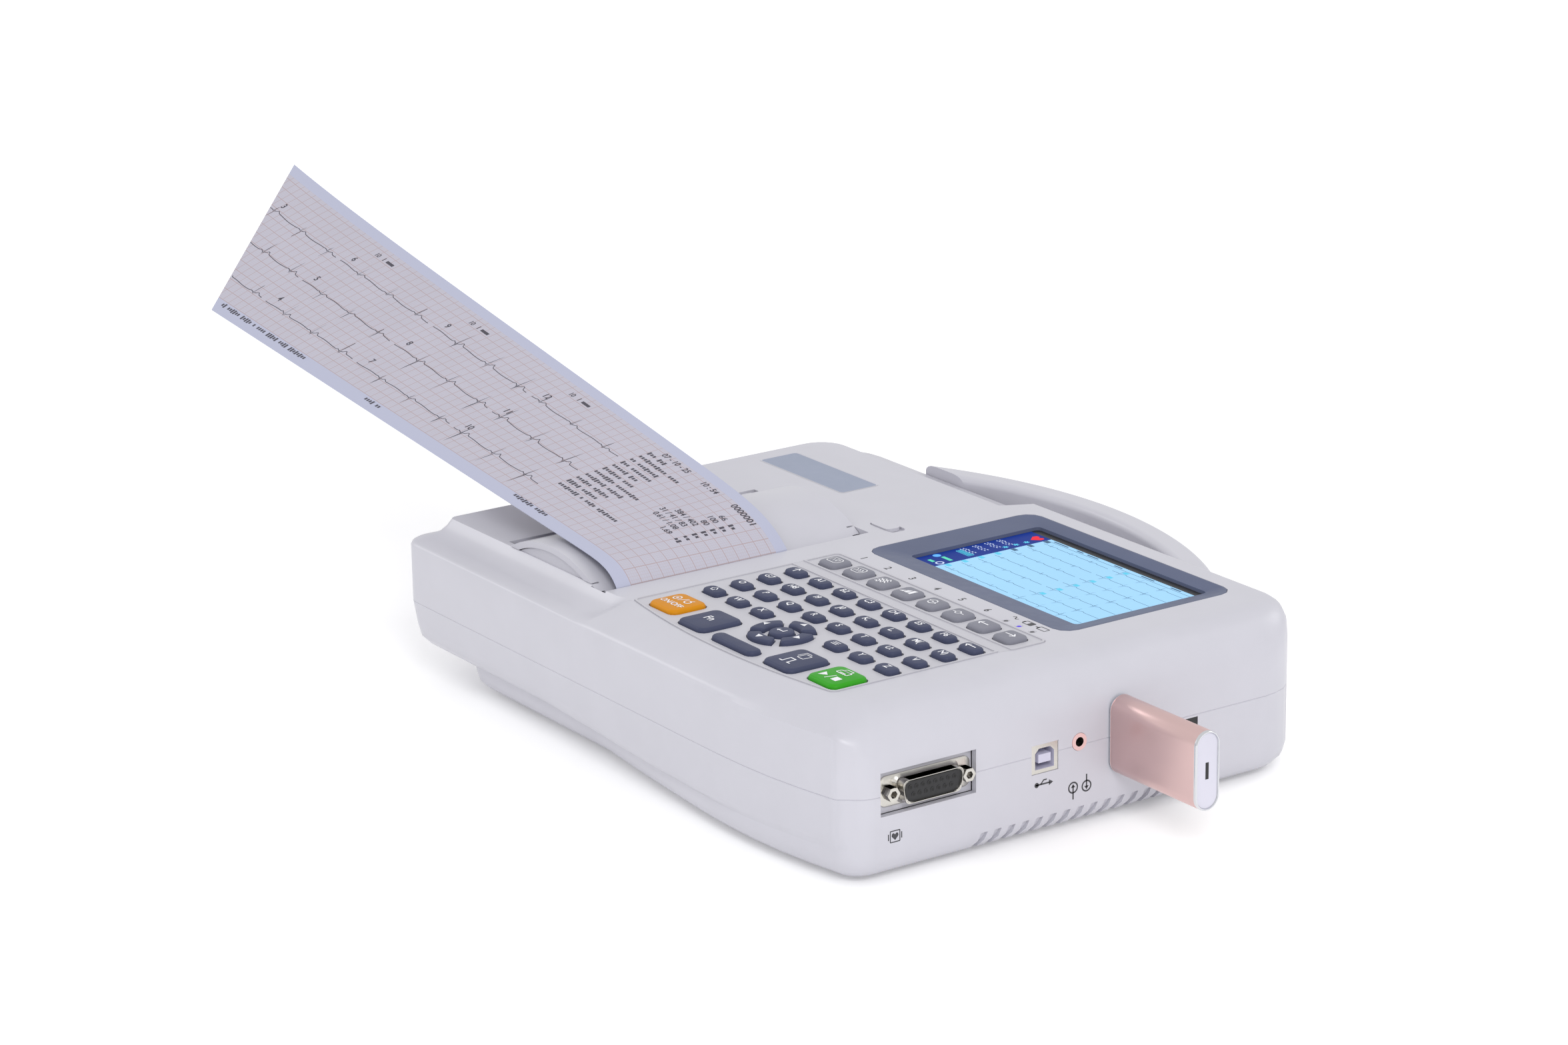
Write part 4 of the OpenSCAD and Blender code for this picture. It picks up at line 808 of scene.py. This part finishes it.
key_piece("key_on_off", [((4.7, -76.4), BIG_CAP, [moved(text("ON/OFF", 3.7), 0, -2.9)]
                          + sign("on_off", y=2.6))], ORANGE, **BIG_TOP)
key_piece("key_fn", [((29, -78), (18, 19.5, 3.6), [text("Fn", 5.2)])], SLATE, **BIG_TOP)
key_piece("key_space", [((57, -85), (27, 6.6, 3.0), [])], SLATE, **BAR_TOP)
key_piece("key_copy", [((85.6, -78), (18.5, 19.5, 3.6), sign("copy"))], SLATE, **BIG_TOP)
key_piece("key_start_stop", [((109.2, -76.4), BIG_CAP, sign("start"))], GREEN, **BIG_TOP)

# ---- marks printed on the case: plain numbers beside the keys and signs beside lamps and sockets ----
panel_marks = Solid()
LAMP_SIGN_Y = 16.6


def on_panel(x, y):
    return Vector((x, y, CASE_H + 0.03))


for i in range(6):
    panel_marks.flat(moved(text(str(i + 1), 4.6), FN_X0 + FN_PITCH * i, 13.6), on_panel)
for x, marks in (
        (92.8, [line([(i * 0.36 - 1.8, 0.9 * math.sin(i * 0.63)) for i in range(11)], 0.5)]),
        (100.8, [outline(5.0, 2.8, 0.3, 0.45), bar(0.8, 1.3, -2.8, 0), bar(2.2, 2.2, 1.2, 0)]),
        (109.2, [outline(4.8, 2.6, 0.3, 0.45), line([(-4.4, 0), (-2.4, 0)], 0.45),
                 bar(0.8, 1.4, -2.6, 0)])):
    for mark in marks:
        panel_marks.flat(moved(mark, x, LAMP_SIGN_Y), on_panel)


def on_side(x, y):
    """The right-hand wall, with x along +Y and y up."""
    return Vector((HALF_W + 0.04, x, y))


# signs that such sockets carry: a heart in a frame, an arrow with a branch and two round plugs
HEART = ((0.0, -1.5), (1.5, 0.1), (1.35, 1.05), (0.6, 1.3), (0.0, 0.7), (-0.6, 1.3), (-1.35, 1.05),
         (-1.5, 0.1))
ROUND_PLUG = [ring(2.0, 0.6), line([(0, -4.6), (0, 0.6)], 0.6), shape((-1.0, 0), (1.0, 0), (0, 1.4))]
for y, z, turn, marks in (
        (-80.3, 15.6, 0, [outline(4.2, 4.2, 0.2, 0.4), shape(*HEART), line([(-2.9, -1.2), (-2.9, 1.2)], 0.45),
                          line([(2.9, -1.2), (2.9, 1.2)], 0.45)]),
        (-13.7, 20.4, 0, [line([(-3.9, 0), (2.6, 0)], 0.6), shape((4.1, 0), (2.2, 1.1), (2.2, -1.1)),
                          moved(disc(1.0), -3.4, 0), line([(-1.6, 0), (-0.2, 1.5), (1.2, 1.5)], 0.5)]),
        (-0.4, 15.8, 0, ROUND_PLUG), (5.8, 15.2, 180, ROUND_PLUG)):
    for mark in marks:
        panel_marks.flat(moved(mark, y, z, turn), on_side)
panel_marks.build("panel_marks", (GREY_INK,), "case")

# ---- display ----
GLASS_TOP, GLASS_T, SCREEN_LEVEL = 59.0, 1.4, 0.02
SCREEN = (0.0, 111.0, 30.0, 99.5)
# the lit field of the traces and, to its left, the dark strip
FIELD_X0, FIELD_X1, FIELD_Y0, FIELD_Y1, DARK_X0 = 16.2, 104.9, 33.2, 92.7, 3.2
BEAT_TIMES = (-0.6, -0.2, 0.1, 0.35, 0.7)


def heartbeat(x, beats, tall, deep, wave):
    """Height of a trace at x: a small wave, a sharp spike and a slow wave after each beat."""
    y, heights = 0.0, (0, -0.12 * tall, tall, -deep, 0)
    for b in beats:
        t = x - b
        y += 0.35 * wave * math.exp(-(t + 2.3) ** 2 / 0.35) + wave * math.exp(-(t - 3.0) ** 2 / 0.9)
        for i in range(4):
            if BEAT_TIMES[i] <= t < BEAT_TIMES[i + 1]:
                part = (t - BEAT_TIMES[i]) / (BEAT_TIMES[i + 1] - BEAT_TIMES[i])
                y += mix(heights[i], heights[i + 1], part)
    return y


def trace_points(x0, x1, beats, tall, deep, wave, fine=0.5):
    marks_at = sorted({x0 + fine * i for i in range(int((x1 - x0) / fine) + 1)}
                      | {b + t for b in beats for t in BEAT_TIMES if x0 < b + t < x1})
    return [Vector((x, heartbeat(x, beats, tall, deep, wave))) for x in marks_at]


def rectangle(x0, x1, y0, y1):
    return shape((x0, y0), (x1, y0), (x1, y1), (x0, y1))


picture = Solid()


def show(look, level, mark, x=0.0, y=0.0, turn=0.0, size=1.0):
    """Adds a mark to the picture, on one of its thin levels above the glass."""
    picture.flat(moved(mark, x, y, turn, size),
                 lambda px, py: Vector((px, py, GLASS_TOP + SCREEN_LEVEL * level)), look)


glass = rectangle(*SCREEN)[0]
picture.rings([[p.to_3d() + Vector((0, 0, z)) for p in glass] for z in (GLASS_TOP - GLASS_T, GLASS_TOP)],
              S_BLACK)
show(S_BLUE, 1, rectangle(DARK_X0, FIELD_X0, FIELD_Y0, FIELD_Y1))
show(S_LIGHT, 1, rectangle(FIELD_X0, FIELD_X1, FIELD_Y0, FIELD_Y1))
for k in range(7):
    y = 38.4 + 8.1 * k
    for half, (a, b) in enumerate(((FIELD_X0 + 2.5, 59.5), (62.0, 104.6))):
        beats = [a + 4.5 + 12.4 * i for i in range(4) if a + 4.5 + 12.4 * i < b - 1]
        tall, deep = ((3.0 - 0.4 * (k % 3), 2.6 + 0.3 * (k % 2)) if half
                      else (0.8, 1.6) if k in (2, 5) else (1.5 + 0.35 * (k % 3), 0.7))
        show(S_INK, 2, line(trace_points(a, b, beats, tall, deep, 0.55), 0.24), 0, y)
    show(S_CYAN if k < 4 else S_INK, 3, block(3.0, 2.0), FIELD_X0 + 1.7, y + 2.2)
    if k:
        show(S_CYAN, 3, block(2.6, 2.0), 68.0, y + 1.9)
for x, w in ((24, 9), (36, 4), (44, 7), (60, 5), (78, 8), (95, 6)):
    show(S_INK, 2, block(w, 0.8), x, 91.6)
show(S_INK, 2, block(FIELD_X1 - FIELD_X0, 0.25), (FIELD_X1 + FIELD_X0) / 2, 90.4)
# the dark strip: a red heart, three stars, rows of plain bars, a meter and two lamps
show(S_RED, 3, shape(*HEART), 11.8, 88.6, 0, 1.9)
for i in range(3):
    for turn in (0, 60, 120):
        show(S_CYAN, 3, block(2.6, 0.55), 13.2, 82.6 - 5.2 * i, turn)
for row in range(4):
    for x, step in ((4.8, 1.17), (8.6, 1.53)):
        for part in range(3):
            y = 77.0 - 6.0 * row + 0.35 * part
            for w, down in ((1.0, 1.1), (0.9, 2.6)):
                show(S_WHITE, 3, block(w, 0.5), x + step * part, y - down)
for look, mark, x, y in (
        (S_TEAL, block(7.5, 2.0), 9.6, 55.0), (S_CYAN, outline(8.3, 2.8, 0.2, 0.3), 9.6, 55.0),
        (S_GREEN, block(6.0, 1.7), 11.2, 45.0), (S_SKY, disc(1.7), 5.6, 44.2),
        (S_WHITE, ring(1.5, 0.7), 13.8, 39.6), (S_GREEN, block(3.4, 1.6), 9.6, 38.6)):
    show(look, 3, mark, x, y)
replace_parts(picture.build("screen_picture", SCREEN_LOOKS, "case"), "lcd_window")

# ---- the printed strip ----
FRONT_RUN, BACK_RUN, PAPER_X, PAPER_T, PAPER_W, SLOT_DEEP = 328.0, 394.0, -27.6, 0.3, 79.0, 6.4
PAPER_Y = (-83.4, -83.4 + PAPER_W)


def strip_at(s, v, lift=0.0):
    """A point of the strip: s runs out from the slot and v across it from the front edge."""
    w = v / PAPER_W
    k = s / mix(FRONT_RUN, BACK_RUN, w)
    f, b = FRONT_RUN * k, BACK_RUN * k
    front = Vector((PAPER_X - f, PAPER_Y[0], CASE_H + 6.3 + 0.108 * f - 6.5 * math.exp(-f / 5)))
    rear = Vector((PAPER_X - b, PAPER_Y[1], CASE_H + 9.6 + 0.1805 * b - 9.5 * math.exp(-b / 12)
                   + 3 * k ** 8))
    p = front.lerp(rear, w)
    root = math.exp(-k * 80)
    p.z += lift * (1 - 0.7 * root)
    p.x += lift * root
    return p


def make_strip():
    steps, across = 120, 12
    ks = [0.0] + [(i / steps) ** 1.6 for i in range(1, steps + 1)]
    points, faces, uvs = [], [], []
    for side in (0.0, PAPER_T):
        for k in [-1.0] + ks:
            for j in range(across + 1):
                v = PAPER_W * j / across
                run = FRONT_RUN + (BACK_RUN - FRONT_RUN) * j / across
                if k < 0:
                    points.append(Vector((PAPER_X + side, mix(PAPER_Y[0], PAPER_Y[1], j / across),
                                          CASE_H - SLOT_DEEP)))
                    uvs.append((-8.0, v))
                else:
                    points.append(strip_at(run * k, v, side))
                    uvs.append((run * k, v))
    n, m = across + 1, len(ks) + 1
    under = n * m
    for i in range(m - 1):
        for j in range(across):
            a = i * n + j
            faces.append((a, a + n, a + n + 1, a + 1))
            faces.append((under + a, under + a + 1, under + a + n + 1, under + a + n))
    rim = [(i * n, (i + 1) * n) for i in range(m - 1)]
    rim += [((m - 1) * n + j, (m - 1) * n + j + 1) for j in range(across)]
    rim += [((i + 1) * n + across, i * n + across) for i in range(m - 1)]
    rim += [(j + 1, j) for j in range(across)]
    faces += [(a, under + a, under + b, b) for a, b in rim]
    made = piece("printed_strip", points, faces, (STRIP_PAPER,), "paper", sharp=60)
    grid = made.data.uv_layers.new(name="print")
    for loop in made.data.loops:
        grid.data[loop.index].uv = uvs[loop.vertex_index]
    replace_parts(made, "paper_strip")


make_strip()
print_marks = Solid()
# base lines of the three channels, and the height, depth and slow wave of the kinds of beat
CHANNELS = (17.5, 36.0, 55.0)
BEAT_FORMS = ((5.5, 1.0, 1.1), (7.5, 1.5, 1.6), (3.0, 5.0, 1.0), (6.5, 9.0, 1.8), (9.0, 4.0, 2.0))
LEAD_STEP, LEAD_RUN, LAST_PRINT = 80, 76.5, 84.0
rng = random.Random(11)


def write(mark, u, v):
    """Print that reads from the far end towards the slot: u grows towards the slot."""
    print_marks.flat(moved(mark, u, v), lambda s, across: strip_at(-s, across, PAPER_T + 0.05))


for channel, base in enumerate(CHANNELS):
    for lead in range(4):
        far = 390 - LEAD_STEP * lead
        near = max(far - LEAD_RUN, LAST_PRINT)
        far = min(far, mix(FRONT_RUN, BACK_RUN, base / PAPER_W) - 0.4)
        first = 8.0 + 3.0 * (lead % 2)
        form = BEAT_FORMS[(channel + lead) % (5 if lead > 1 else 3)]
        beats = [-near - 24.4 * i - first for i in range(4)]
        drift = [p + Vector((0, 0.25 * math.sin(p.x * 0.31 + channel)))
                 for p in trace_points(-far, -near, beats, *form, 0.8)]
        write(line(drift, 0.32), 0, base)
        if far > near + 60:
            write(text(str(3 * lead + channel + 1), 4.4), -far + 4.5, base + 4.6)
for lead in range(3):
    start = LEAD_STEP * lead - 300
    write(text("10", 3.4), start, 68.4)
    write(text("1", 3.4), start + 5.4, 68.4)
    write(block(5.5, 1.5), start + 10.5, 68.4)


def printed_row(u, v, runs):
    """Bars like the letters of a printed line: runs are the lengths of its words, in letters."""
    for run in runs:
        for _ in range(run):
            write(block(1.15, 2.3 * rng.choice((0.62, 0.62, 1.0))), u, v)
            u += 1.75
        u += 1.9


# the front line and the rows beside the slot: plain numbers and bars of the size of print
printed_row(-326, 4.6, (2, 6, 5, 1, 4, 5, 4, 8))
printed_row(-200, 4.6, (4, 2))
printed_row(-82, 5.2, (8, 5))
for word, size, u, v in (("07 - 10 - 25", 3.9, -66, 71.0), ("10 : 54", 3.9, -42, 71.0),
                         ("0000001", 4.3, -19, 71.6)):
    write(text(word, size), u, v)
TABLE = (((3, 3), ""), ((11, 4), "66"), ((2, 8), "100"), ((3, 8), "80"), ((6, 3), "384 / 402"),
         ((7, 4), "31 / 41 / 83"), ((8, 9), "0.61 / 1.08"), ((8, 6), "1.69"), ((6, 6), ""), ((5, 6), ""),
         ((8, 1, 4, 8), ""))
for row, (words, value) in enumerate(TABLE):
    v = 66.8 - 4.25 * row
    printed_row(-79, v, words)
    if value:
        write(text(value, 3.7), -18 - 0.95 * len(value), v)
        printed_row(-14.5, v, (2,))
print_marks.build("strip_print", (PRINT_INK,), "paper")

# ---- sockets on the right-hand wall: places are along +Y and up ----
WALL = HALF_W
JACK, USB_B, AUX, STICK, STICK_LEN = (-65.4, 32.2), (-13.3, 30.2), (2.4, 33), (21.3, 32.35), 50
JACK_SCREWS = 33.3


def outwards(solid, at, steps, pick=0, **more):
    """Rings in the wall's plane about a place, given as pairs of a form and how far out it is."""
    solid.rings([[Vector((WALL + out, at[0] + p.x, at[1] + p.y)) for p in form] for form, out in steps],
                pick, **more)


def paint(node, looks, choose):
    """Gives each face of a CAD node one of several materials by its middle and normal."""
    me = frame["nodes"][node].data
    me.materials.clear()
    for look in looks:
        me.materials.append(look)
    for face in me.polygons:
        c = face.center / MM
        face.material_index = choose(c.x, c.y, c.z, face.normal)


def jack_look(x, y, z, n):
    """Of the patient connector: 0 the pale frame, 1 the nickel flange and shell, 2 the black face."""
    out, dy = x - WALL, abs(y - JACK[0])
    if out < -2.9:
        return 1 if dy < 15 and out > -2.99 and n.x < 0.5 else 0
    face = 2.0 < out < 2.5 and n.x > 0.9 and dy < 12.5
    inside = abs(n.x) < 0.5 and dy < 10.5 and abs(z - JACK[1]) < 2.2
    return 2 if face or inside else 1


def usb_b_look(x, y, z, n):
    dy, dz = abs(y - USB_B[0]), abs(z - USB_B[1])
    return 1 if (dy < 4.4 and dz < 4.1 and x < WALL - 0.35) or (dy < 2.9 and dz < 1.7) else 0


def aux_look(x, y, z, n):
    if x < WALL - 10:
        return 2
    return 1 if math.hypot(y - AUX[0], z - AUX[1]) < 2.2 and abs(n.x) < 0.5 else 0


paint("patient_connector", (BODY, NICKEL, BLACK), jack_look)
paint("usb_b_port", (NICKEL, SOCKET), usb_b_look)
paint("aux_jack", (PINK, NICKEL, BLACK), aux_look)
# the LAN socket: a black plastic front, and inside it the near-black painted shade of the deep opening
paint("lan_port", (BLACK, HOLE_SHADE), lambda x, y, z, n: 0 if x > WALL - 0.4 else 1)
paint("usb_a_port", (NICKEL, BLACK), lambda x, y, z, n: 1 if x < WALL - 0.4 else 0)

flange = Solid()
outwards(flange, JACK, [(rounded(w, d, r, 5), out) for w, d, r, out in (
    (39.6, 11.6, 2.6, -2.98), (39.6, 11.6, 2.6, -2.3), (39.0, 11.0, 2.3, -2.15))])


def d_form(w, h, r, n=5):
    """The D of the connector with rounded corners, the long side up."""
    lean = math.tan(math.radians(10)) * h / 2
    corners = [(w / 2 + lean, h / 2), (-w / 2 - lean, h / 2),
               (-w / 2 + lean, -h / 2), (w / 2 - lean, -h / 2)]
    out = []
    for i, p in enumerate(corners):
        p = Vector(p)
        a = (Vector(corners[i - 1]) - p).normalized()
        b = (Vector(corners[(i + 1) % 4]) - p).normalized()
        for k in range(n + 1):
            t = k / n
            out.append(p + a * r * (1 - t) ** 2 + b * r * t ** 2)
    return out


SHELL = ((-2.2, 28.6, 11.4, 4.2), (-1.5, 26.2, 9.6, 3.6), (-0.9, 25.6, 9.0, 3.2), (2.7, 25.6, 9.0, 3.2),
         (3.0, 25.2, 8.6, 3.0), (3.0, 24.6, 8.0, 2.8), (2.0, 24.4, 7.8, 2.7))
outwards(flange, JACK, [(d_form(*form), out) for out, *form in SHELL], caps=(False, False))
outwards(flange, JACK, [(d_form(24.3, 7.7, 2.6), out) for out in (2.32, 2.34)], 1)
# two rows of contacts, each a raised rim round a near-black disc, painted shade for the depth of its hole
for count, dz in ((8, 1.42), (7, -1.42)):
    for i in range(count):
        at = (JACK[0] + 2.77 * (i - (count - 1) / 2), JACK[1] + dz)
        outwards(flange, at, [(circle(r, 10), out) for r, out in ((0.95, 2.34), (0.95, 2.46), (0.62, 2.40))],
                 1, caps=(False, False))
        outwards(flange, at, [(circle(0.62, 10), out) for out in (2.36, 2.38)], 2)
# two hexagon jack screws
for side in (-1, 1):
    outwards(flange, (JACK[0] + side * JACK_SCREWS / 2, JACK[1]),
             [(circle(r, 6), out) for r, out in ((2.75, -2.3), (2.75, 1.7), (2.45, 2.03), (1.5, 2.03),
                                                 (1.42, -1.5))], caps=(False, False))
flange.build("jack_flange", (NICKEL, BLACK, HOLE_SHADE), "case", 40)

# ---- memory stick: a satin metal sleeve with bright rims and a white end, whose slot is a black sheet of painted shade ----


def stick_form(inset):
    return rounded(11 - 2 * inset, 30.3 - 2 * inset, 5.49 - inset, 14)


stick = Solid()
# how far out, inset and material of the band that ends there
SLEEVE = ((0.35, 1.1, 1), (0.35, 0.3, 1), (0.6, 0.06, 1), (1.2, 0.0, 1), (1.25, 0.12, 0), (1.5, 0.02, 0),
          (STICK_LEN - 1.3, 0.02, 0), (STICK_LEN - 1.15, 0.14, 1), (STICK_LEN - 1.1, 0.0, 1),
          (STICK_LEN - 0.3, 0.02, 1), (STICK_LEN, 0.25, 1), (STICK_LEN, 0.62, 1), (STICK_LEN - 0.5, 0.85, 1))
outwards(stick, STICK, [(stick_form(inset), out) for out, inset, _ in SLEEVE],
         picks=[pick for _, _, pick in SLEEVE[1:]], caps=(True, False))
outwards(stick, STICK, [(stick_form(0.8), STICK_LEN - 0.62), (stick_form(0.9), STICK_LEN - 0.5)], 2)
# the slot: a thin black sheet on the white end, painted shade standing for its depth
outwards(stick, STICK, [(block(1.5, 6.4)[0], STICK_LEN - back) for back in (0.5, 0.48)], 3)
plug, bore = block(4.5, 12)[0], block(2.3, 11.2)[0]
outwards(stick, STICK, [(plug, 0.4), (plug, -11.4), (bore, -11.4), (bore, -1)], 1, caps=(False, True))
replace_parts(stick.build("memory_stick", (ROSE, BRIGHT, STICK_WHITE, BLACK), "stick", 40), "usb_stick")

# ---- small things on and in the case ----
def at_height(at, points, z):
    """An outline in a level plane, put at z."""
    return [Vector((at[0] + p.x, at[1] + p.y, z)) for p in points]


rim = Solid()
rim.rings([at_height((-106.5, 66), rounded(w, d, 1.6, 5), z)
           for w, d, z in ((60.4, 19.4, 62.36), (59.4, 18.4, 62.36), (58.9, 17.9, 62.2))],
          caps=(False, False))
rim.build("label_rim", (BODY,), "case")
# pale rests under the corners of the printer door, which close the view into the case
rests = Solid()
for x, w, d, top, sides in ((-33.4, 13.4, 3.1, 59.7, (-87.5, 32.8)), (-99.9, 5.0, 2.9, 58.6, (-84.3, 29.5))):
    for y in sides:
        rests.rings([at_height((x, y), rounded(w - 2 * e, d - 2 * e, 0.5 - e, 3), z)
                     for e, z in ((0, top - 1.4), (0, top - 0.2), (0.2, top))])
rests.build("door_rests", (BODY,), "case")
# pale backing behind the slanted vents of the right-hand wall, curved in at the bottom as the wall is
backing = Solid()
BACKING_AT, BACKING_R = Vector((139.8, 9.5)), (8.3, 7.6)
turns = [polar(math.radians(a)) for a in range(-78, 1, 13)]
bent = [BACKING_AT + BACKING_R[0] * d for d in turns]
bent += [BACKING_AT + BACKING_R[1] * d for d in reversed(turns)]
backing.rings([[Vector((p.x, y, p.y)) for p in bent] for y in (-46, 64)])
backing.build("vent_backing", (BODY,), "case")
# three lamps in pale rims, the middle one lit
lamp = Solid()
for x, lens in ((92.8, 0), (100.8, 1), (108.8, 0)):
    for pick, last, sizes in ((2, False, ((1.5, 61.0), (1.5, 62.34), (1.42, 62.36), (1.05, 62.02))),
                              (lens, True, ((1.05, 62.0), (0.8, 62.12), (0.35, 62.18)))):
        lamp.rings([at_height((x, 11.9), circle(r), z) for r, z in sizes], pick, caps=(False, last))
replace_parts(lamp.build("lamps", (BLACK, LAMP_ON, BODY), "case"), "status_leds")

# ---- the shells and other moulded pieces, shaded as the curved forms they are ----
smooth_copy("top_case", BODY, UPPER_FORM)
smooth_copy("bottom_case", BODY, LOWER_FORM)
for node in ("carry_handle", "printer_door", "door_latch", "keypad_panel", "lcd_bezel"):
    smooth_copy(node, CAD_FINISH[node])
